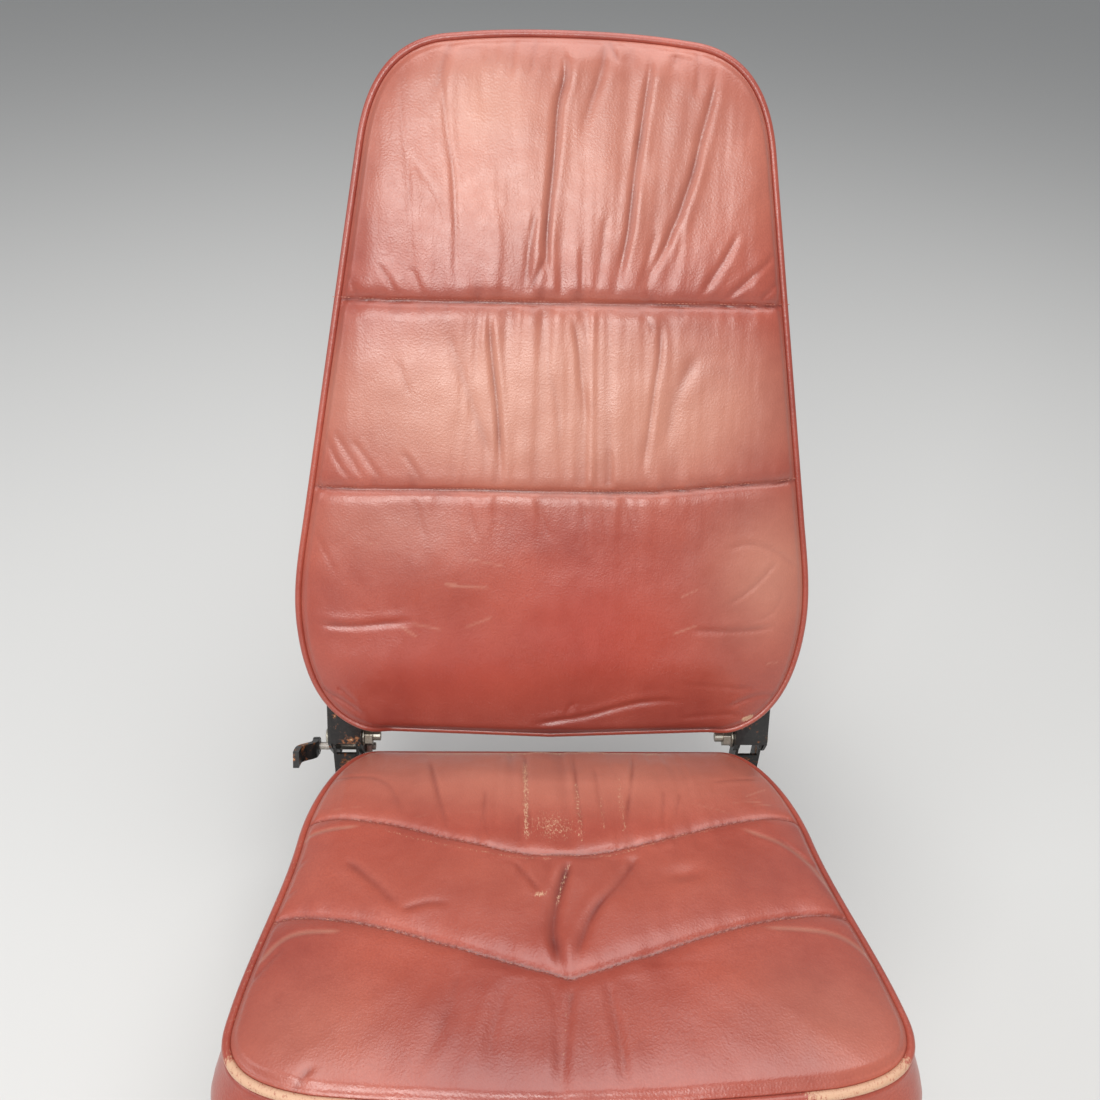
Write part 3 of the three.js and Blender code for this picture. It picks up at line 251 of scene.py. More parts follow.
def leatherMaterial(name):
    material, tree, shader = shaderTree(name)
    place = objectPlace(tree)
    broad = noiseOn(tree, place, 9, 4, 0.55)
    fine = noiseOn(tree, place, 70, 5, 0.6)
    pebble = cellsOn(tree, place, leather["grain"], "SMOOTH_F1")
    tiny = noiseOn(tree, place, 1500, 2, 0.5)
    tone = mixed(tree, ranged(tree, broad, 0.3, 0.7), leather["deep"], leather["fair"])
    tone = mixed(tree, ranged(tree, fine, 0.35, 0.8, 0, 0.3), tone, leather["fair"])
    tone = mixed(tree, ranged(tree, pebble, 0.25, 0.7, 0, 0.35), tone, leather["deep"])
    shadedCrease, wear, polish, dustAndSheen = (attributeOf(tree, mark) for mark in markNames)
    edge = sums(tree, "MULTIPLY", polish, ranged(tree, fine, 0.2, 0.6, 0.75, 1))
    tone = mixed(tree, edge, tone, leather["polished"])
    # dust marks fade the finish and also paint the sheen of highlights
    dustAndSheenShare = sums(tree, "MULTIPLY", dustAndSheen, ranged(tree, broad, 0.3, 0.7, 0.72, 1))
    tone = mixed(tree, dustAndSheenShare, tone, leather["fadedAndSheen"])
    # painted shade in creases, seams and folds
    tone = mixed(tree, sums(tree, "MULTIPLY", shadedCrease, 0.7), tone, leather["shadedCrease"])
    flecks = noiseOn(tree, objectPlace(tree, (1, 0.35, 0.5)), 760, 5, 0.75)
    chance = sums(tree, "ADD", flecks, sums(tree, "MULTIPLY", wear, 0.55))
    bare = ranged(tree, chance, 0.79, 0.89, 0, 0.8)
    bare = sums(tree, "MULTIPLY", bare, ranged(tree, wear, 0.02, 0.2))
    tone = mixed(tree, bare, tone, leather["bare"])
    tree.links.new(tone, shader.inputs["Base Color"])
    rough = ranged(tree, fine, 0.25, 0.75, 0.30, 0.43)
    rough = sums(tree, "ADD", rough, sums(tree, "MULTIPLY", dustAndSheen, 0.04))
    rough = sums(tree, "ADD", rough, sums(tree, "MULTIPLY", bare, 0.35))
    tree.links.new(rough, shader.inputs["Roughness"])
    shader.inputs["Specular IOR Level"].default_value = 0.8
    shader.inputs["Sheen Weight"].default_value = leather["sheen"]
    shader.inputs["Sheen Roughness"].default_value = 0.45
    shader.inputs["Sheen Tint"].default_value = leather["sheenTint"]
    shader.inputs["Coat Weight"].default_value = 0.12
    shader.inputs["Coat Roughness"].default_value = 0.42
    grain = bumped(tree, pebble, 0.28, 0.0006)
    grain = bumped(tree, tiny, 0.12, 0.0003, grain)
    lines = noiseOn(tree, objectPlace(tree, (1, 1, 0.25)), 160, 4, 0.65)
    tree.links.new(bumped(tree, lines, 0.16, 0.0012, grain), shader.inputs["Normal"])
    return material


def smoothStep(value, low, high):
    share = np.clip((value - low) / (high - low), 0, 1)
    return share * share * (3 - 2 * share)


# Smooth random heights from -1 to 1, the same for the same seed.
def cloud(x, y, cell, seed):
    size = 97
    table = np.random.default_rng(seed).uniform(-1, 1, (size, size))
    u, v = np.asarray(x) / cell + size * 3, np.asarray(y) / cell + size * 3
    i, j = np.floor(u).astype(int), np.floor(v).astype(int)
    a, b = (part * part * (3 - 2 * part) for part in (u - i, v - j))
    near = table[i % size, j % size] * (1 - a) + table[(i + 1) % size, j % size] * a
    far = table[i % size, (j + 1) % size] * (1 - a) + table[(i + 1) % size, (j + 1) % size] * a
    return near * (1 - b) + far * b


# Points along a Bezier curve of any degree.
def curvePoints(controls, count):
    t = np.linspace(0, 1, count)[:, None]
    degree = len(controls) - 1
    return sum(
        math.comb(degree, i) * (1 - t) ** (degree - i) * t ** i * np.array(p, float)
        for i, p in enumerate(controls))


def halfOutline(stretches):
    parts = [curvePoints(controls, 60)[:-1] for controls in stretches]
    return np.vstack([*parts, [stretches[-1][-1]]])


def evenly(line, count):
    steps = np.linalg.norm(np.diff(line, axis=0), axis=1)
    along = np.concatenate([[0], np.cumsum(steps)])
    want = np.linspace(0, along[-1], count)
    return np.column_stack([np.interp(want, along, line[:, k]) for k in range(line.shape[1])])


# Four sides of an outline between its corners, each with even steps: near, right, far and left.
def fourSides(half, across, up):
    near = np.argmax(half[:, 0] - half[:, 1])
    far = np.argmax(half[:, 0] + half[:, 1])
    mirror = [-1, 1]
    bottom = np.vstack([half[near::-1] * mirror, half[1:near + 1]])
    top = np.vstack([half[far:] * mirror, half[-2:far - 1:-1]])
    side = half[near:far + 1]
    right, left = evenly(side, up + 1), evenly(side * mirror, up + 1)
    return evenly(bottom, across + 1), right, evenly(top, across + 1), left


# One anticlockwise loop round the four sides.
def loopOf(sides):
    bottom, right, top, left = sides
    return np.vstack([bottom[:-1], right[:-1], top[:0:-1], left[:0:-1]])


def insetLoop(loop, distance):
    ahead = np.roll(loop, -1, axis=0) - np.roll(loop, 1, axis=0)
    ahead /= np.linalg.norm(ahead, axis=1)[:, None]
    inward = np.column_stack([-ahead[:, 1], ahead[:, 0]])
    return loop + inward * np.asarray(distance).reshape(-1, 1)


# A grid of places that fills the loop, row by row from its near side.
def filledLoop(loop, across, up):
    bottom = loop[:across + 1]
    right = loop[across:across + up + 1]
    top = loop[across + up:2 * across + up + 1][::-1]
    left = np.vstack([loop[2 * across + up:], loop[:1]])[::-1]
    u = np.linspace(0, 1, across + 1)[None, :, None]
    v = np.linspace(0, 1, up + 1)[:, None, None]
    ruled = (1 - v) * bottom[None] + v * top[None] + (1 - u) * left[:, None] + u * right[:, None]
    corners = (1 - v) * ((1 - u) * bottom[0] + u * bottom[-1]) + v * ((1 - u) * top[0] + u * top[-1])
    return (ruled - corners).reshape(-1, 2)


def gridFaces(across, up):
    i, j = np.meshgrid(np.arange(across), np.arange(up))
    corner = (j * (across + 1) + i).ravel()
    return np.column_stack([corner, corner + 1, corner + across + 2, corner + across + 1])


def gridRim(across, up):
    wide = across + 1
    return np.concatenate([
        np.arange(across), np.arange(up) * wide + across,
        up * wide + np.arange(across, 0, -1), np.arange(up, 0, -1) * wide])


# Distance from a smooth line through a few points, the side of it, and the share of the way along.
def besideLine(x, y, points, reach):
    points = np.array(points, float)
    if len(points) > 2:
        ends = np.vstack([2 * points[0] - points[1], points, 2 * points[-1] - points[-2]])
        parts = []
        for k in range(len(points) - 1):
            a, b, c, d = ends[k:k + 4]
            t = np.linspace(0, 1, 7)[:-1, None]
            parts.append(0.5 * (2 * b + (c - a) * t + (2 * a - 5 * b + 4 * c - d) * t ** 2
                                + (3 * b - a - 3 * c + d) * t ** 3))
        points = np.vstack([*parts, points[-1:]])
    low, high = points.min(0) - reach, points.max(0) + reach
    near = np.flatnonzero((x > low[0]) & (x < high[0]) & (y > low[1]) & (y < high[1]))
    here = np.column_stack([x[near], y[near]])
    best = np.full(len(near), 1e9)
    side = np.ones(len(near))
    share = np.zeros(len(near))
    lengths = np.linalg.norm(np.diff(points, axis=0), axis=1)
    total, walked = lengths.sum(), 0
    for a, b, length in zip(points[:-1], points[1:], lengths):
        t = np.clip((here - a) @ (b - a) / length ** 2, 0, 1)
        away = here - (a + t[:, None] * (b - a))
        far = np.linalg.norm(away, axis=1)
        closer = far < best
        best[closer] = far[closer]
        side[closer] = np.sign((b - a)[0] * away[:, 1] - (b - a)[1] * away[:, 0])[closer]
        share[closer] = ((walked + t * length) / total)[closer]
        walked += length
    return near, best, side, share


# A pad's face while it is being shaped.
class Face:
    def __init__(self, points):
        self.x, self.y = points[:, 0], points[:, 1]
        self.height = np.zeros(len(points))
        self.marks = {name: np.zeros(len(points)) for name in markNames}

    # A crease is a soft valley with a rise on both sides, fading out at its ends, with painted shade in
    # the valley.
    def shadedCrease(self, points, depth, width=2.2, ridge=0.5, fade=(0.2, 0.3), paintedShade=1.0):
        width, depth = 1.35 * width, 0.95 * depth
        near, away, side, share = besideLine(self.x, self.y, points, 7 * width)
        strength = smoothStep(share, 0, fade[0] + 1e-6) * smoothStep(1 - share, 0, fade[1] + 1e-6)
        strength *= 0.8 + 0.2 * cloud(self.x[near], self.y[near], 23, 5)
        valley = np.exp(-(away / width) ** 2) * strength
        crest = np.exp(-((away - 2.4 * width) / (1.6 * width)) ** 2) * strength * (0.7 + 0.3 * side)
        self.height[near] += depth * (ridge * crest - valley)
        # painted shade in the valley, deeper creases darker
        paintedShade = valley ** 2 * min(1, 0.36 * depth) * paintedShade
        self.marks["shadedCrease"][near] = np.maximum(self.marks["shadedCrease"][near], paintedShade)

    # Soft folds that fan out from a seam across a panel, close together and running up it, with painted
    # shade in their hollows.
    def gathers(self, low, high, centre, half, size, pitch, spread, seed, start):
        share = (self.y - low) / (high - low)
        u = (self.x - centre) / (1 + spread * share)
        wave = 0.6 * cloud(u, share, pitch, seed) + 0.4 * cloud(u, 3 * share, 0.45 * pitch, seed + 1)
        lively = 0.6 + 0.4 * cloud(u, 60 * share, 30, seed + 2)
        inside = smoothStep(share, 0, start) * smoothStep(1 - share, 0, 0.06)
        held = 1 - 0.55 * np.sin(math.pi * np.clip(share, 0, 1))  # flatter in the panel's middle
        amount = size * np.exp(-((u / half) ** 4)) * inside * held * lively
        wave = np.sign(wave) * np.abs(wave) ** 0.8
        self.height += amount * wave
        self.marks["shadedCrease"] = np.maximum(self.marks["shadedCrease"], np.clip(-wave, 0, 1) * amount * 0.2)

    def puff(self, x, y, wide, tall, height, turn):
        c, s = math.cos(math.radians(turn)), math.sin(math.radians(turn))
        u = ((self.x - x) * c + (self.y - y) * s) / wide
        v = ((self.y - y) * c - (self.x - x) * s) / tall
        self.height += height * np.exp(-u * u - v * v)

    # A mark along a line, for worn finish, dust with painted sheen, or a rubbed place.
    def rub(self, mark, points, width, strength):
        near, away, _, share = besideLine(self.x, self.y, points, 3 * width)
        value = np.exp(-(away / width) ** 2) * strength
        value *= smoothStep(share, 0, 0.15) * smoothStep(1 - share, 0, 0.15)
        self.marks[mark][near] = np.maximum(self.marks[mark][near], value)

    def rubSpot(self, mark, x, y, wide, tall, strength, edge):
        value = strength * np.exp(-((((self.x - x) / wide) ** 2 + ((self.y - y) / tall) ** 2) ** edge))
        self.marks[mark] = np.maximum(self.marks[mark], value)

    # A sewn seam: both panels roll down into it, and the thread pulls a narrow groove, with a line of
    # painted shade along it.
    def seam(self, line, drop, radius, groove=1.8):
        away = self.y - line(self.x)
        rolled = 1 - np.sqrt(1 - (1 - np.clip(np.abs(away) / radius, 0, 1)) ** 2)
        narrow = np.exp(-(away / 1.9) ** 2)
        self.height -= drop * rolled + groove * narrow
        # painted shade along the seam groove
        self.marks["shadedCrease"] = np.maximum(self.marks["shadedCrease"], 0.8 * np.exp(-(away / 1.3) ** 2))

    # Short fine scratches at random places round a spot.
    def scratches(self, count, x, y, wide, tall, seed):
        chance = np.random.default_rng(seed)
        for _ in range(count):
            start = np.array([x, y]) + chance.uniform(-1, 1, 2) * [wide, tall]
            turn, length = chance.uniform(-0.7, 0.7), chance.uniform(12, 44)
            end = start + length * np.array([math.cos(turn), math.sin(turn)])
            self.rub("dustAndSheen", [tuple(start), tuple(end)], 1.1, chance.uniform(0.25, 0.55))

    # Small puckers that run square away from a seam or an edge, with painted shade in their hollows.
    def puckers(self, line, side, reach, size, pitch, seed, between=(-1000, 1000)):
        away = (self.y - line(self.x)) * side
        drift = self.x + 0.12 * away * cloud(self.x, self.x * 0, 60, seed + 1)
        wave = cloud(drift, away * 0.18, pitch, seed)
        lively = 0.55 + 0.45 * cloud(self.x, away, 4.5 * pitch, seed + 2)
        fade = np.where(away > 0, np.exp(-np.abs(away) / reach), 0) * smoothStep(away, 0, 3)
        low, high = between
        fade *= smoothStep(self.x, low, low + 40) * smoothStep(-self.x, -high, 40 - high)
        self.height += size * fade * lively * (np.abs(wave) ** 0.7 * np.sign(wave) - 0.3)
        # painted shade in the pucker hollows
        paintedShade = np.clip(-wave, 0, 1) * fade * 0.32 * size
        self.marks["shadedCrease"] = np.maximum(self.marks["shadedCrease"], paintedShade)


def edgeDistance(points, loop):
    dense = evenly(np.vstack([loop, loop[:1]]), 4 * len(loop))
    tree = KDTree(len(dense))
    for k, (a, b) in enumerate(dense):
        tree.insert((a, b, 0), k)
    tree.balance()
    return np.array([tree.find((a, b, 0))[2] for a, b in points])


# How high a cover that is stuffed from inside stands at some distance from its sewn edge.
def stuffed(distance, radius, height):
    return height * np.sqrt(1 - (1 - np.clip(distance / radius, 0, 1)) ** 2)


# As a cover turns down from its face to its side: inset and depth, then where the side starts.
coverTurn = ((6.4, 1.8), (5.2, 4.2), (3.4, 6.2), (1.6, 7.2))
coverSide = {"top": 7.6, "inset": 0.8}


def meshFrom(name, points, faces, materials, marks=None):
    mesh = bpy.data.meshes.new(name)
    mesh.from_pydata([tuple(p) for p in points], [], [tuple(int(k) for k in f) for f in faces])
    mesh.update()
    mesh.polygons.foreach_set("use_smooth", np.full(len(mesh.polygons), True))
    for material in materials:
        mesh.materials.append(material)
    for mark, values in (marks or {}).items():
        layer = mesh.attributes.new(mark, "FLOAT", "POINT")
        layer.data.foreach_set("value", np.asarray(values, np.float32))
    piece = bpy.data.objects.new(name, mesh)
    bpy.context.scene.collection.objects.link(piece)
    return piece


# The face of a pad, then loops of places round its sides, then a fan that closes its far end.
def padMesh(name, place, face, grid, loops, materials, lastMaterial=0):
    across, up = grid
    points = [np.column_stack([face.x, face.y, face.height])]
    faces = [gridFaces(across, up)]
    rim = gridRim(across, up)
    count = len(rim)
    total = len(face.x)
    for loop in loops:
        ring = total + np.arange(count)
        faces.append(np.column_stack([np.roll(rim, -1), rim, ring, np.roll(ring, -1)]))
        points.append(loop)
        rim = ring
        total += count
    quads = np.vstack(faces)
    fan = [(int(rim[(k + 1) % count]), int(rim[k]), total) for k in range(count)]
    points.append(loops[-1].mean(0)[None])
    allFaces = [tuple(f) for f in quads] + fan
    if place["flip"]:
        allFaces = [tuple(reversed(f)) for f in allFaces]
    spots = placed(np.vstack(points), place)
    marks = {}
    for mark, values in face.marks.items():
        around = values[gridRim(across, up)]
        tail = np.tile(around, len(loops)) * np.repeat(0.5 ** np.arange(1, len(loops) + 1), count)
        marks[mark] = np.concatenate([values, tail, [0]])
    piece = meshFrom(name, spots, allFaces, materials, marks)
    if lastMaterial:
        slots = np.zeros(len(allFaces), np.int32)
        slots[len(allFaces) - (count + lastMaterial * count):] = 1
        piece.data.polygons.foreach_set("material_index", slots)
    return piece


# A round cord sewn in between two panels, through a closed loop of places.
def cordRound(name, place, line, radius, material, marks=None, sides=12):
    count = len(line)
    ahead = np.roll(line, -1, axis=0) - np.roll(line, 1, axis=0)
    ahead /= np.linalg.norm(ahead, axis=1)[:, None]
    across = np.cross(ahead, [0, 0, 1])
    across /= np.linalg.norm(across, axis=1)[:, None]
    over = np.cross(across, ahead)
    angle = np.linspace(0, 2 * math.pi, sides, endpoint=False)
    radius = np.broadcast_to(np.asarray(radius, float), count)[:, None, None]
    ring = across[:, None] * np.cos(angle)[None, :, None] + over[:, None] * np.sin(angle)[None, :, None]
    points = (line[:, None] + radius * ring).reshape(-1, 3)
    i, k = np.meshgrid(np.arange(count), np.arange(sides), indexing="ij")
    here, there = i * sides, (i + 1) % count * sides
    faces = np.column_stack([a.ravel() for a in (
        here + k, here + (k + 1) % sides, there + (k + 1) % sides, there + k)])
    if place["flip"]:
        faces = faces[:, ::-1]
    marks = {m: np.repeat(v, sides) for m, v in (marks or {}).items()}
    for mark in markNames:
        marks.setdefault(mark, np.zeros(len(points)))
    return meshFrom(name, placed(points, place), faces, [material], marks)


makeCamera()
makeLight()
makeFloor()
leatherSkin = leatherMaterial("burgundy_leather")
print("stage ready")

back = {
    "near": [(0, 2), (160, 8)],
    "corner": [(160, 8), (214.6, 12), (246, 50), (251, 130)],
    "hip": [(251, 130), (253, 165), (247, 195), (240, 235)],
    "side": [(240, 235), (184, 570)],
    "shoulder": [(184, 570), (177, 612), (158, 655), (100, 659)],
    "top": [(100, 659), (60, 664), (0, 664)],
    "piping": 3.4,
    "edgeInset": 7.0,  # from the outline to where the face is sewn to the piping
    "crown": 9,
    "stuffing": 9,
    "stuffingRadius": 30,
    "roll": 22,  # radius that the bottom of the face turns under with
    "rollEnds": (160, 190),
    "meets": (15, 100),  # up the face, from the thinnest stuffing to the full
    "leftThere": 0.3,
    "turnWidth": 6,  # over which the cover takes up the roll of its edge
    "foam": (42, 12),  # depth at the bottom, and how much thinner at the top
    "frameDepth": 37.5,  # from the rear of the foam, past the frame, to the boxing's rear edge
    "middle": (0, 320),
    "bulge": 1.8,
    "pipingSteps": 520,
    "height": 664,
    "across": 220,
    "up": 300,
}


def backRoll(points):
    x, y = points[:, 0], points[:, 1]
    inner, outer = back["rollEnds"]
    fade = 1 - smoothStep(np.abs(x), inner, outer)
    edge = 2 + 6 * np.minimum(1, np.abs(x) / 160)
    along = np.clip(1 - (y - edge) / back["roll"], 0, 1)
    return fade * back["roll"] * (1 - np.sqrt(1 - along ** 2))


def upperSeam(x):
    return 438 + 0.008 * x


def lowerSeam(x):
    return 266 + 12 * smoothStep(x, 60, 240) - 2 * smoothStep(-x, 80, 240)


backCreases = [  # depth, width, then the line
    (3.2, 2.3, [(-10, 660), (-6, 629), (-11, 601), (-14, 554), (-18, 497), (-17, 471), (-14, 436)]),
    (1.5, 2.6, [(30, 662), (25, 630), (17, 605), (11, 575)]),
    (3.0, 2.2, [(70, 655), (65, 622), (62, 594), (57, 550), (53, 499), (47, 460), (46, 436)]),
    (2.9, 2.3, [(124, 648), (121, 615), (114, 583), (106, 545), (91, 500), (73, 460), (64, 438)]),
    (1.0, 1.5, [(-111, 640), (-107, 592), (-100, 545), (-98, 508), (-97, 440)]),
    (0.6, 1.4, [(-146, 631), (-143, 581), (-138, 544), (-136, 481), (-133, 448)]),
    (1.3, 3.2, [(-100, 658), (-110, 629), (-117, 600)]),
    (1.3, 2.4, [(-27, 522), (-33, 484), (-37, 437)]),
    (1.2, 2.0, [(-17, 482), (-34, 442)]),
    (1.0, 2.4, [(33, 518), (30, 472), (27, 440)]),
    (0.9, 1.8, [(13, 490), (15, 438)]),
    (1.4, 2.2, [(153, 506), (138, 475), (115, 440)]),
    (1.5, 2.0, [(190, 488), (163, 462), (138, 440)]),
    (1.2, 1.8, [(196, 465), (173, 442)]),
    (1.0, 1.8, [(-195, 464), (-181, 433)]),
    (0.9, 1.8, [(-166, 470), (-144, 435)]),
    (0.8, 1.8, [(-138, 468), (-122, 435)]),
    (1.2, 2.2, [(80, 505), (62, 442)]),
    (1.1, 2.4, [(-49, 658), (-52, 622)]),
    (1.0, 2.4, [(-30, 658), (-34, 622)]),
    (1.3, 2.0, [(30, 658), (40, 636)]),
    (1.2, 2.2, [(91, 656), (89, 634)]),
    (1.3, 2.6, [(108, 654), (108, 610)]),
    (0.4, 1.6, [(-143, 566), (-110, 520), (-100, 469)]),
    (2.4, 1.9, [(-68, 434), (-65, 394), (-59, 345), (-56, 301), (-53, 268)]),
    (1.8, 1.8, [(85, 435), (87, 397), (83, 354), (79, 307), (75, 272)]),
    (1.5, 1.9, [(6, 434), (13, 399), (18, 363), (25, 322)]),
    (1.0, 3.6, [(-110, 424), (-98, 393), (-78, 334), (-57, 280)]),
    (0.9, 2.0, [(68, 438), (83, 410)]),
    (0.6, 2.4, [(-14, 430), (-13, 378), (-4, 346), (0, 284)]),
    (0.7, 1.8, [(44, 310), (50, 268)]),
    (0.7, 2.0, [(-149, 386), (-137, 349)]),
    (0.8, 1.8, [(-146, 304), (-122, 266)]),
    (0.8, 1.6, [(-223, 331), (-205, 290), (-185, 264)]),
    (0.8, 1.6, [(-193, 314), (-159, 267)]),
    (0.7, 1.6, [(-210, 322), (-176, 267)]),
    (1.1, 4.5, [(124, 402), (103, 354), (97, 300)]),
    (1.6, 2.2, [(-232, 131), (-195, 130), (-160, 134), (-128, 137)]),
    (1.4, 2.0, [(128, 131), (176, 129), (222, 132)]),
    (0.7, 1.8, [(158, 211), (187, 217), (217, 205), (246, 180)]),
    (0.7, 1.6, [(216, 205), (191, 174), (160, 150)]),
    (0.4, 1.8, [(225, 174), (208, 144), (165, 133)]),
    (0.5, 1.4, [(-231, 228), (-206, 176)]),
    (1.6, 2.0, [(-240, 66), (-207, 49), (-184, 28)]),
    (1.2, 1.8, [(-212, 66), (-190, 44)]),
    (2.0, 2.0, [(-28, 21), (12, 29), (41, 35), (91, 50), (142, 52)]),
    (1.8, 1.8, [(20, 50), (14, 32)]),
    (0.8, 1.7, [(125, 72), (173, 68), (214, 65)]),
    (1.3, 1.8, [(172, 42), (211, 59), (240, 46)]),
    (1.0, 1.8, [(125, 31), (176, 36), (200, 31)]),
    (1.3, 2.0, [(-170, 21), (-97, 15), (-17, 14), (93, 15), (170, 26)]),
    (0.8, 1.7, [(-136, 262), (-125, 217)]),
    (0.7, 1.7, [(-88, 264), (-75, 214)]),
    (0.8, 1.7, [(-24, 264), (-7, 218)]),
    (0.8, 1.7, [(21, 264), (30, 208)]),
    (0.7, 1.6, [(40, 265), (47, 216)]),
    (0.7, 1.6, [(61, 266), (74, 226)]),
]

backPuffs = [  # across, up, half-width, half-height, height, turn
    (-45, 560, 26, 90, 2.2, -4),
    (30, 560, 16, 80, 1.8, -8),
    (82, 560, 18, 80, 2.0, -14),
    (75, 633, 12, 16, 1.6, 0),
    (7, 636, 10, 16, 1.5, 0),
    (-120, 545, 45, 80, 1.2, 0),
    (155, 560, 22, 60, 1.0, -12),
    (-30, 350, 24, 60, 1.2, 6),
    (50, 350, 22, 60, 1.2, -4),
    (-140, 340, 50, 50, 1.6, 0),
    (150, 350, 50, 55, 1.8, 0),
    (-110, 190, 60, 40, 1.8, 0),
    (30, 150, 80, 60, 2.4, 0),
    (160, 90, 40, 30, 1.6, 0),
    (-150, 90, 50, 30, 1.4, 0),
]

backGathers = [  # low, high, centre, half-width, size, pitch, spread, seed, where they reach full size
    (440, 652, 30, 88, 3.2, 15, 0.45, 81, 0.06),
    (440, 652, -95, 60, 1.3, 17, 0.3, 84, 0.06),
    (268, 438, 5, 110, 2.5, 13, -0.15, 87, 0.06),
    (150, 266, 0, 130, 1.3, 12, 0, 90, 0.9),
]

backSpots = [  # mark, across, along, half-width, half-length, strength, how sharp its edge is
    ("polish", 40, 130, 100, 70, 0.55, 1),
    ("polish", -70, 80, 130, 60, 0.4, 1),
    # painted shade across the bottom of the back, where it meets the cushion
    ("shadedCrease", 0, 0, 270, 50, 0.85, 1),
    # these dust spots are faded finish together with a painted sheen
    ("dustAndSheen", 0, 570, 200, 115, 0.55, 1.5),
    ("dustAndSheen", -70, 600, 90, 70, 0.72, 1),
    ("dustAndSheen", 0, 350, 225, 88, 0.80, 2),
    ("dustAndSheen", 205, 190, 60, 80, 0.62, 1),
    ("dustAndSheen", -150, 235, 90, 40, 0.3, 1),
]


def shapeBackFace(points, loop):
    face = Face(points)
    edge = edgeDistance(points, loop)
    centreGap = np.maximum(np.abs(face.x) / 250, np.abs(face.y - back["middle"][1]) / 340)
    thin, full = back["meets"]  # thinner where the cushion is met when the back folds forwards
    met = back["leftThere"] + (1 - back["leftThere"]) * smoothStep(face.y, thin, full)
    face.height += stuffed(edge, back["stuffingRadius"], back["stuffing"]) * met
    face.height += back["crown"] * (1 - np.clip(centreGap, 0, 1) ** 2.2) * met
    face.height *= smoothStep(edge, -1, 7) * 0.35 + 0.65
    for x, y, wide, tall, height, turn in backPuffs:
        face.puff(x, y, wide, tall, height, turn)
    face.height += 0.7 * cloud(face.x, face.y, 48, 11) + 0.3 * cloud(face.x, face.y, 19, 12)
    face.height += 0.16 * cloud(face.x, face.y * 0.12, 5, 13) * smoothStep(face.y, 180, 300)
    face.seam(upperSeam, 6.5, 17)
    face.seam(lowerSeam, 5.0, 15)
    for depth, width, line in backCreases:
        face.shadedCrease(line, depth, width, ridge=0.45 if depth > 1 else 0.3)
    face.puckers(upperSeam, 1, 26, 1.4, 11, 21)
    face.puckers(upperSeam, -1, 16, 1.2, 7, 24)
    face.puckers(lowerSeam, 1, 18, 1.0, 9, 27)
    face.puckers(lowerSeam, -1, 24, 1.1, 8, 30, (-150, 170))
    face.puckers(lambda x: 655 - 0.0009 * x ** 2, -1, 20, 1.5, 10, 33, (-130, 170))
    face.height *= smoothStep(edge, 0, 5) * 0.8 + 0.2
    face.height -= backRoll(points)
    for spot in backGathers:
        face.gathers(*spot)
    for spot in backSpots:
        face.rubSpot(*spot)
    face.scratches(6, -150, 150, 70, 70, 101)
    face.scratches(5, 160, 150, 60, 80, 102)
    face.rub("wear", [(-185, 215), (-160, 212)], 2, 0.5)
    face.rub("wear", [(192, 28), (206, 34)], 4, 1)
    return face


hingeNotch = {"inner": 189, "outer": 228, "top": 60.5, "front": 9}


# Room for the hinge block: behind its front wall, the pad's corner steps up over it.
def notched(loop):
    inner, outer, top = (hingeNotch[side] for side in ("inner", "outer", "top"))
    loop = loop.copy()
    for side in (1, -1):
        x = loop[:, 0] * side
        inside = np.flatnonzero((x > inner) & (loop[:, 1] < top))
        order = inside[np.argsort(x[inside])]
        first, last = loop[order[0]] * [side, 1], loop[order[-1]] * [side, 1]
        path = np.array([first, (inner, first[1]), (inner, top), (max(outer, last[0]), top)])
        steps = evenly(path, len(order))
        loop[order] = steps * [side, 1]
    return loop


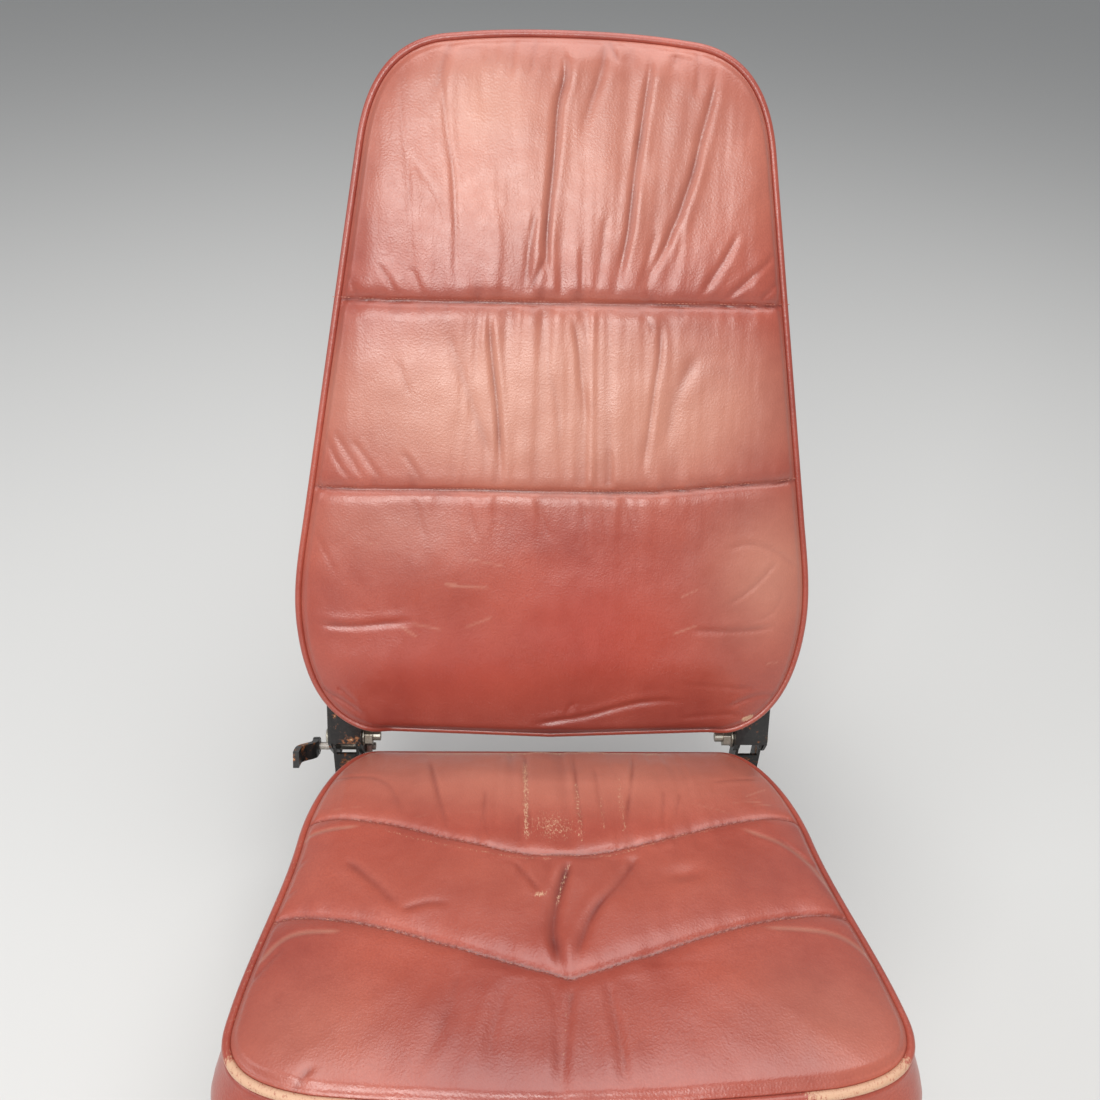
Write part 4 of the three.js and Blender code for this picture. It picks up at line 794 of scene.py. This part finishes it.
def makeBackPad():
    half = halfOutline([back[k] for k in ("near", "corner", "hip", "side", "shoulder", "top")])
    across, up = back["across"], back["up"]
    loop = loopOf(fourSides(half, across, up))
    sewn = insetLoop(loop, back["edgeInset"])
    points = filledLoop(sewn, across, up)
    face = shapeBackFace(points, sewn)
    piping = insetLoop(loop, back["piping"])
    edgeRoll = backRoll(piping)
    sewnRoll = backRoll(sewn)
    foamDepth = back["foam"][0] - back["foam"][1] * loop[:, 1] / back["height"]
    rearDepth = foamDepth + back["frameDepth"]
    loops = []
    for inset, depth in coverTurn:
        share = (back["edgeInset"] - inset) / back["turnWidth"]
        drop = sewnRoll * (1 - share) + edgeRoll * share
        loops.append(np.column_stack([insetLoop(loop, inset), -depth - drop]))
    top = coverSide["top"] + edgeRoll
    wobble = 0.5 * cloud(np.arange(len(loop)), 0 * loop[:, 0], 9, 41)
    for k, share in enumerate((0, 0.03, 0.08, 0.16, 0.28, 0.42, 0.58, 0.74, 0.87, 0.95, 1)):
        depth = top + share * (rearDepth - top)
        bulge = back["bulge"] * math.sin(math.pi * share) + wobble * math.sin(math.pi * share)
        outline = insetLoop(loop, coverSide["inset"] - bulge)
        if share >= 0.03:
            outline = notched(outline)
            depth = np.maximum(depth, hingeNotch["front"])
        loops.append(np.column_stack([outline, -depth]))
    for inset, lift in ((2.2, 1.4), (3.6, 1.2), (4.2, -3), (4.6, -12)):
        loops.append(np.column_stack([notched(insetLoop(loop, inset)), -(rearDepth + lift)]))
    deep = loops[-1]
    middle = np.array([*back["middle"], deep[:, 2].mean()])
    loops.append(middle + (deep - middle) * [0.5, 0.5, 1])
    pad = padMesh("back_pad", backPlace, face, (across, up), loops, [leatherSkin])
    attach(pad, "backrest")
    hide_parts("back_panel_lower", "back_panel_middle", "back_panel_upper", "back_foam",
                "back_boxing")
    line = evenly(np.vstack([loop, loop[:1]]), back["pipingSteps"] + 1)[:-1]
    line = insetLoop(line, back["piping"])
    centre = np.column_stack([line, -back["piping"] - backRoll(line)])
    cord = cordRound("back_piping", backPlace, centre, back["piping"], pipingSkin)
    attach(cord, "backrest")
    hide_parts("back_piping")
    for name, seamLine, ends in (("back_stitches_upper", upperSeam, (-206, 206)),
                                 ("back_stitches_lower", lowerSeam, (-226, 226))):
        makeStitches(name, backPlace, face, seamLine, ends, "backrest", thread)


cushion = {
    "near": [(0, -5), (172, -5)],
    "rearCorner": [(172, -5), (186, -5), (196, 12), (208, 38)],
    "waist": [(208, 38), (218, 62), (229, 100), (230, 150)],
    "side": [(230, 150), (231, 220), (247, 290), (248, 355)],
    "frontCorner": [(248, 355), (248.5, 395), (222, 412), (178, 420)],
    "front": [(178, 420), (89, 430), (0, 430)],
    "piping": 3.4,
    "edgeInset": 7.0,
    "crown": 7,
    "stuffing": 8.5,
    "stuffingRadius": 34,
    "meets": (12, 85),  # forwards from the back, from the thinnest stuffing to the full
    "leftThere": 0.25,
    "drop": (12, 24),  # the rear edge is rolled down by this much, over this length
    "depth": 95,
    "strap": 3,
    "middle": (0, 210),
    "pipingSteps": 480,
    "bulge": 6,
    "cornerFill": 8,  # how far the front corners swell beyond the rounded ones of the top
    "cornerReach": 48,
    "across": 220,
    "up": 200,
}


def rearDrop(along):
    size, length = cushion["drop"]
    return size * np.exp(-(along + 5) / length)


def rearSeam(x):
    return 130 + 57 * (0.5 + 0.5 * np.cos(math.pi * np.minimum(1, np.abs(x) / 215)))


def frontSeam(x):
    spread = 0.5 + 0.5 * np.cos(math.pi * np.minimum(1, np.abs(x) / 235))
    return 251 + 52 * spread + 20 * np.exp(-np.abs(x) / 60)


cushionCreases = [
    (1.4, 1.8, [(-26, 2), (-27, 103), (-25, 180)]),
    (1.2, 1.7, [(22, 5), (20, 103), (21, 185)]),
    (1.2, 1.7, [(82, 10), (76, 61), (64, 126), (58, 172)]),
    (0.8, 1.7, [(39, 40), (40, 111), (43, 172)]),
    (1.2, 2.0, [(-122, 20), (-113, 79), (-102, 133), (-92, 176)]),
    (0.7, 1.7, [(-64, 87), (-66, 140), (-59, 184)]),
    (0.7, 1.7, [(-35, 126), (-35, 184)]),
    (0.7, 1.7, [(102, 90), (91, 160)]),
    (0.7, 1.7, [(117, 95), (103, 150)]),
    (0.7, 1.7, [(144, 83), (203, 68)]),
    (0.7, 2.0, [(-219, 67), (-162, 78), (-131, 150)]),
    (4.2, 3.0, [(10, 190), (0, 222), (-7, 251), (-11, 282), (-7, 312), (-3, 328)]),
    (2.2, 2.6, [(72, 178), (48, 223), (25, 256), (11, 288), (2, 326)]),
    (1.2, 2.0, [(-42, 194), (-27, 222), (-16, 243)]),
    (1.6, 3.0, [(-186, 186), (-153, 224), (-129, 258)]),
    (1.3, 2.6, [(-133, 256), (-108, 249), (-88, 253)]),
    (1.0, 1.8, [(-243, 180), (-222, 153), (-172, 146)]),
    (0.9, 1.8, [(-242, 222), (-212, 178)]),
    (0.9, 1.8, [(-240, 248), (-216, 218)]),
    (0.9, 1.8, [(160, 148), (207, 183), (230, 237)]),
    (0.9, 1.8, [(188, 157), (229, 208)]),
    (1.3, 2.6, [(2, 326), (-6, 376), (-12, 426)]),
    (1.8, 3.0, [(26, 322), (28, 352), (31, 391), (31, 426)]),
    (1.0, 2.6, [(-22, 326), (-12, 352), (-15, 426)]),
    (0.9, 3.5, [(-46, 326), (-58, 375), (-61, 415)]),
    (0.8, 4.5, [(-80, 310), (-95, 375), (-118, 421)]),
    (0.8, 1.6, [(-237, 305), (-214, 277), (-172, 276)]),
    (0.8, 1.6, [(-239, 325), (-214, 284)]),
    (0.8, 1.6, [(152, 275), (214, 280), (245, 315)]),
    (1.5, 2.2, [(-196, 418), (-176, 396)]),
]

cushionPuffs = [
    (-95, 225, 55, 45, 3.6, 20),
    (95, 240, 60, 45, 4.0, -20),
    (45, 275, 26, 30, 1.6, 0),
    (-50, 265, 30, 30, 1.6, 0),
    (-140, 345, 70, 45, 2.6, 10),
    (130, 340, 80, 50, 3.0, -8),
    (-70, 70, 60, 50, 1.2, 0),
    (120, 70, 50, 50, 1.2, 0),
    (100, 216, 16, 10, -3.4, -20),
    (0, 360, 26, 70, -1.6, 0),
]

cushionGathers = [  # low, high, centre, half-width, size, pitch, spread, seed, where they reach full size
    (0, 186, 20, 105, 2.4, 12, 0.1, 93, 0.06),
    (190, 320, 0, 66, 2.4, 14, 0.6, 96, 0.06),
    (325, 428, 0, 90, 2.4, 20, 0.5, 99, 0.06),
]

cushionSpots = [  # mark, across, along, half-width, half-length, strength, how sharp its edge is
    ("wear", -5, 150, 34, 34, 0.52, 1),
    ("wear", -20, 240, 8, 5, 0.7, 1),
    # these dust spots are faded finish together with a painted sheen
    ("dustAndSheen", 0, 60, 230, 75, 0.5, 1.5),
    ("dustAndSheen", 0, 220, 200, 70, 0.14, 1),
    ("dustAndSheen", -190, 380, 70, 60, 0.22, 1),
    ("dustAndSheen", 190, 370, 70, 60, 0.26, 1),
    # darker in the middle of the front, drawn in the crease shade colour
    ("shadedCrease", 0, 385, 100, 70, 0.42, 1),
]


def shapeCushionFace(points, loop):
    face = Face(points)
    edge = edgeDistance(points, loop)
    centreGap = np.maximum(np.abs(face.x) / 240, np.abs(face.y - 215) / 225)
    thin, full = cushion["meets"]
    met = cushion["leftThere"] + (1 - cushion["leftThere"]) * smoothStep(face.y, thin, full)
    face.height += stuffed(edge, cushion["stuffingRadius"], cushion["stuffing"]) * met
    face.height += cushion["crown"] * (1 - np.clip(centreGap, 0, 1) ** 2.2) * met
    for x, y, wide, tall, height, turn in cushionPuffs:
        face.puff(x, y, wide, tall, height, turn)
    face.height += 0.9 * cloud(face.x, face.y, 52, 51) + 0.4 * cloud(face.x, face.y, 21, 52)
    face.height += 0.18 * cloud(face.x, face.y * 0.15, 5, 53) * smoothStep(-face.y, -190, -120)
    face.seam(rearSeam, 4.2, 16, 1.6)
    face.seam(frontSeam, 6.5, 20, 1.8)
    for depth, width, line in cushionCreases:
        face.shadedCrease(line, depth, width, ridge=0.45 if depth > 1 else 0.3, paintedShade=1.9)
    face.puckers(rearSeam, -1, 30, 1.2, 9, 61, (-140, 150))
    face.puckers(rearSeam, 1, 14, 0.8, 9, 64)
    face.puckers(frontSeam, -1, 14, 0.9, 9, 67)
    face.puckers(frontSeam, 1, 22, 0.9, 13, 70, (-150, 150))
    face.height *= smoothStep(edge, 0, 5) * 0.8 + 0.2
    face.height -= rearDrop(face.y)
    for spot in cushionGathers:
        face.gathers(*spot)
    face.rub("wear", [(-165, 12), (-84, 7), (0, 8), (90, 8), (150, 14)], 9, 0.6)
    for spot in cushionSpots:
        face.rubSpot(*spot)
    streaks = ((-27, 20, 184, 0.62), (20, 70, 184, 0.52), (60, 60, 172, 0.48), (41, 90, 165, 0.45))
    for x, low, high, strength in streaks:
        face.rub("wear", [(x, low), (x - 2, high)], 4.5, strength)
    face.rub("wear", [(-200, 130), (-120, 168), (-40, 192), (40, 190), (110, 162), (190, 135)], 3, 0.5)
    face.rub("wear", [(0, 330), (-8, 376), (-13, 426)], 3.5, 0.36)
    face.rub("wear", [(8, 196), (0, 222), (-8, 256)], 2.6, 0.6)
    for line in ([(-237, 305), (-214, 277), (-172, 276)], [(152, 275), (214, 280), (245, 315)],
                 [(-243, 180), (-222, 153), (-172, 146)], [(160, 148), (207, 183), (230, 237)]):
        face.rub("dustAndSheen", line, 2.2, 0.6)
    face.scratches(16, -130, 90, 80, 50, 103)
    face.scratches(12, 120, 90, 80, 50, 104)
    return face


# How far the cushion's side stands out at a share of the way down.
def cushionSwell(loop, share, wobble):
    across, along = np.abs(loop[:, 0]) - 228, loop[:, 1] - 398
    corner = np.exp(-(across ** 2 + along ** 2) / cushion["cornerReach"] ** 2)
    filled = smoothStep(share, 0, 0.4) * cushion["cornerFill"]
    return (cushion["bulge"] + wobble) * math.sin(math.pi * share) + filled * corner


def makeCushion():
    parts = ("near", "rearCorner", "waist", "side", "frontCorner", "front")
    half = halfOutline([cushion[k] for k in parts])
    across, up = cushion["across"], cushion["up"]
    loop = loopOf(fourSides(half, across, up))
    sewn = insetLoop(loop, cushion["edgeInset"])
    points = filledLoop(sewn, across, up)
    face = shapeCushionFace(points, sewn)
    drop = rearDrop(loop[:, 1])
    loops = []
    for inset, depth in coverTurn:
        loops.append(np.column_stack([insetLoop(loop, inset), -depth - drop]))
    top = coverSide["top"] + drop
    bottom = cushion["depth"] + cushion["strap"]
    wobble = 0.8 * cloud(np.arange(len(loop)), 0 * loop[:, 0], 14, 71)
    for share in (0, 0.03, 0.09, 0.17, 0.26, 0.36, 0.47, 0.58, 0.69, 0.8, 0.89, 0.96, 1):
        depth = top + share * (bottom - top)
        swell = cushionSwell(loop, share, wobble)
        loops.append(np.column_stack([insetLoop(loop, coverSide["inset"] - swell), -depth]))
    for inset, lift in ((2.4, 0.6), (4.0, -0.6), (5.2, -2.6)):
        loops.append(np.column_stack([insetLoop(loop, inset), np.full(len(loop), -(bottom + lift))]))
    deep = loops[-1]
    middle = np.array([*cushion["middle"], deep[0, 2]])
    loops.append(middle + (deep - middle) * [0.5, 0.5, 1])
    pad = padMesh("cushion_pad", cushionPlace, face, (across, up), loops, [leatherSkin, foamSkin], 1)
    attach(pad, "seat_base")
    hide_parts("cushion_panel_rear", "cushion_panel_middle", "cushion_panel_front", "cushion_foam",
                "cushion_boxing")
    line = evenly(np.vstack([loop, loop[:1]]), cushion["pipingSteps"] + 1)[:-1]
    line = insetLoop(line, cushion["piping"])
    centre = np.column_stack([line, -cushion["piping"] - rearDrop(line[:, 1])])
    front = smoothStep(line[:, 1], 375, 400) * smoothStep(np.abs(line[:, 0]), 130, 170)
    sideLine = 0.35 * smoothStep(line[:, 1], 60, 120) * (line[:, 0] < 0)
    marks = {"wear": np.clip(0.8 * front + sideLine, 0, 0.8)}
    cord = cordRound("cushion_piping", cushionPlace, centre, cushion["piping"], pipingSkin, marks)
    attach(cord, "seat_base")
    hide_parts("cushion_piping")
    for name, seamLine, ends in (("cushion_stitches_rear", rearSeam, (-212, 212)),
                                 ("cushion_stitches_front", frontSeam, (-230, 230))):
        makeStitches(name, cushionPlace, face, seamLine, ends, "seat_base", thread)


def foamMaterial():
    material, tree, shader = shaderTree("seat_foam")
    place = objectPlace(tree)
    pores = cellsOn(tree, place, 520)
    broad = ranged(tree, noiseOn(tree, place, 14, 3), 0.3, 0.7)
    tone = mixed(tree, broad, (0.62, 0.48, 0.22), (0.72, 0.60, 0.34))
    # painted shade in the pores
    tone = mixed(tree, ranged(tree, pores, 0.1, 0.5, 0.35, 0), tone, (0.35, 0.24, 0.10))
    tree.links.new(tone, shader.inputs["Base Color"])
    shader.inputs["Roughness"].default_value = 0.95
    tree.links.new(bumped(tree, pores, 0.6, 0.001), shader.inputs["Normal"])
    return material


stitch = {
    "pitch": 3.5,
    "length": 2.7,
    "radius": 0.34,
    "besideSeam": 1.7,
    "sunk": 0.1,
    "sides": 6,
    "rings": ((-0.5, 0.15), (-0.3, 0.9), (0.3, 0.9), (0.5, 0.15)),  # share along, share of the radius
}


# A row of stitches along a seam, lying on the face that it is sewn into.
def makeStitches(name, place, face, line, ends, body, thread):
    xs = np.arange(ends[0], ends[1], 1.0)
    path = evenly(np.column_stack([xs, line(xs) + stitch["besideSeam"]]), 2000)
    length = np.linalg.norm(np.diff(path, axis=0), axis=1).sum()
    count = int(length / stitch["pitch"])
    middles = evenly(path, count)
    ahead = np.gradient(middles, axis=0)
    ahead /= np.linalg.norm(ahead, axis=1)[:, None]
    tree = KDTree(len(face.x))
    for k, spot in enumerate(zip(face.x, face.y)):
        tree.insert((*spot, 0), k)
    tree.balance()
    heights = np.array([face.height[tree.find((a, b, 0))[1]] for a, b in middles])
    points, faces = [], []
    sides, rings = stitch["sides"], stitch["rings"]
    last = sides * (len(rings) - 1)
    for k, (middle, way) in enumerate(zip(middles, ahead)):
        across = np.array([-way[1], way[0]])
        for shift, size in rings:
            for angle in np.linspace(0, 2 * math.pi, sides, endpoint=False):
                spread = stitch["radius"] * size * math.cos(angle)
                flat = middle + way * shift * stitch["length"] + across * spread
                lift = heights[k] - stitch["sunk"] + stitch["radius"] * size * (1 + math.sin(angle))
                points.append((*flat, lift))
        first = sides * len(rings) * k
        faces.append(tuple(first + i for i in range(sides)))
        faces.append(tuple(first + last + i for i in reversed(range(sides))))
        for ring in range(first, first + last, sides):
            for i in range(sides):
                here, there = ring + i, ring + (i + 1) % sides
                faces.append((here, here + sides, there + sides, there))
    threads = meshFrom(name, placed(points, place), faces, [thread])
    bpy.context.view_layer.objects.active = threads
    threads.select_set(True)
    bpy.ops.object.mode_set(mode="EDIT")
    bpy.ops.mesh.select_all(action="SELECT")
    bpy.ops.mesh.normals_make_consistent(inside=False)
    bpy.ops.object.mode_set(mode="OBJECT")
    threads.select_set(False)
    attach(threads, body)


def threadMaterial():
    material, tree, shader = shaderTree("sewing_thread")
    place = objectPlace(tree)
    dirt = ranged(tree, noiseOn(tree, place, 60, 3), 0.35, 0.7)
    tree.links.new(mixed(tree, dirt, (0.52, 0.22, 0.16), (0.36, 0.09, 0.065)), shader.inputs["Base Color"])
    shader.inputs["Roughness"].default_value = 0.7
    tree.links.new(bumped(tree, noiseOn(tree, place, 2600, 2), 0.4, 0.0003), shader.inputs["Normal"])
    return material


chipped = {"rust": (0.30, 0.095, 0.025), "primer": (0.55, 0.42, 0.26)}


# A painted metal, chipped down to primer and rust in places.
def paintMaterial(name, tone, chips):
    material, tree, shader = shaderTree(name)
    place = objectPlace(tree)
    broad, fine = noiseOn(tree, place, 45, 4, 0.6), noiseOn(tree, place, 260, 5, 0.7)
    lighter = tuple(2.2 * value + 0.01 for value in tone)
    colour = mixed(tree, ranged(tree, fine, 0.4, 0.75, 0, 0.6), tone, lighter)
    spots = sums(tree, "ADD", sums(tree, "MULTIPLY", broad, 0.6), sums(tree, "MULTIPLY", fine, 0.4))
    rusted = ranged(tree, spots, 0.62 - chips, 0.67 - chips)
    colour = mixed(tree, rusted, colour, chipped["rust"])
    bare = ranged(tree, spots, 0.67 - chips, 0.70 - chips)
    colour = mixed(tree, bare, colour, chipped["primer"])
    tree.links.new(colour, shader.inputs["Base Color"])
    tree.links.new(ranged(tree, rusted, 0, 1, 0.36, 0.85), shader.inputs["Roughness"])
    under = bumped(tree, fine, 0.1, 0.0004)
    pitted = bumped(tree, sums(tree, "MULTIPLY", rusted, -1), 0.35, 0.0004, under)
    tree.links.new(pitted, shader.inputs["Normal"])
    return material


# A bare metal with drawn lines and some tarnish.
def metalMaterial(name, tone, dull, rough=(0.24, 0.5)):
    material, tree, shader = shaderTree(name)
    lines = noiseOn(tree, objectPlace(tree, (0.1, 1, 1)), 900, 3)
    stain = noiseOn(tree, objectPlace(tree), 120, 5, 0.65)
    tree.links.new(mixed(tree, ranged(tree, stain, 0.42, 0.7), tone, dull), shader.inputs["Base Color"])
    shader.inputs["Metallic"].default_value = 0.9
    tree.links.new(ranged(tree, stain, 0.3, 0.75, *rough), shader.inputs["Roughness"])
    tree.links.new(bumped(tree, lines, 0.12, 0.0002), shader.inputs["Normal"])
    return material


# A moulded plastic, rubber or coated cloth with a fine skin.
def mouldedMaterial(name, tone, worn, rough, grain):
    material, tree, shader = shaderTree(name)
    place = objectPlace(tree)
    scuffs = ranged(tree, noiseOn(tree, place, 90, 5, 0.7), 0.45, 0.75)
    tree.links.new(mixed(tree, scuffs, tone, worn), shader.inputs["Base Color"])
    tree.links.new(ranged(tree, scuffs, 0, 1, rough, min(1, rough + 0.15)), shader.inputs["Roughness"])
    tree.links.new(bumped(tree, cellsOn(tree, place, grain), 0.2, 0.0004), shader.inputs["Normal"])
    return material


# The finish of each carried-over node, by how its name starts. The first match counts.
def finishHardware():
    hingePaint = paintMaterial("chipped_hinge_paint", (0.012, 0.012, 0.012), 0.06)
    framePaint = paintMaterial("frame_paint", (0.022, 0.022, 0.024), 0.02)
    steel = metalMaterial("bare_steel", (0.56, 0.54, 0.50), (0.26, 0.21, 0.16))
    zinc = metalMaterial("zinc_plate", (0.50, 0.48, 0.42), (0.28, 0.24, 0.17), (0.35, 0.6))
    nylon = mouldedMaterial("runner_nylon", (0.66, 0.63, 0.55), (0.48, 0.44, 0.37), 0.45, 700)
    bronze = metalMaterial("bush_bronze", (0.48, 0.28, 0.11), (0.22, 0.13, 0.06), (0.3, 0.55))
    rubber = mouldedMaterial("strap_rubber", (0.02, 0.02, 0.02), (0.06, 0.055, 0.05), 0.75, 900)
    vinyl = mouldedMaterial("rear_vinyl", (0.20, 0.045, 0.036), (0.225, 0.055, 0.044), 0.5, 800)
    grip = mouldedMaterial("grip_plastic", (0.014, 0.014, 0.014), (0.045, 0.043, 0.04), 0.5, 1100)
    finishes = (
        ("hinge_", hingePaint), ("clamp_lever", hingePaint), ("clamp_", steel), ("pivot_bush", bronze),
        ("pivot_", zinc), ("post_bolt", zinc), ("runner_bolt", zinc), ("runner_slide", nylon),
        ("catch_grip", grip), ("catch_spring", steel), ("cushion_strap", rubber), ("back_strap", rubber),
        ("back_rear_panel", vinyl), ("", framePaint))
    paddedNodes = ("cushion_p", "cushion_foam", "cushion_boxing", "back_p", "back_foam", "back_boxing")
    bevelled = ("hinge_", "clamp_", "pivot_nut", "pivot_bolt", "pivot_washer", "catch_bar", "side_plate")
    for name, node in nodes.items():
        if name.startswith(paddedNodes):
            continue  # a pad or a cord stands for these
        finish = next(material for start, material in finishes if name.startswith(start))
        node.data.materials.clear()
        node.data.materials.append(finish)
        if name.startswith(bevelled):
            node.modifiers.new("weld", "WELD").merge_threshold = 0.00001
            edge = node.modifiers.new("edges", "BEVEL")
            edge.width, edge.segments = 0.0005, 2
            edge.limit_method, edge.angle_limit = "ANGLE", math.radians(40)
    print("hardware finished")


foamSkin = foamMaterial()
pipingSkin = leatherMaterial("piping_leather")
thread = threadMaterial()
finishHardware()
makeBackPad()
print("back pad made")
makeCushion()
print("cushion made")
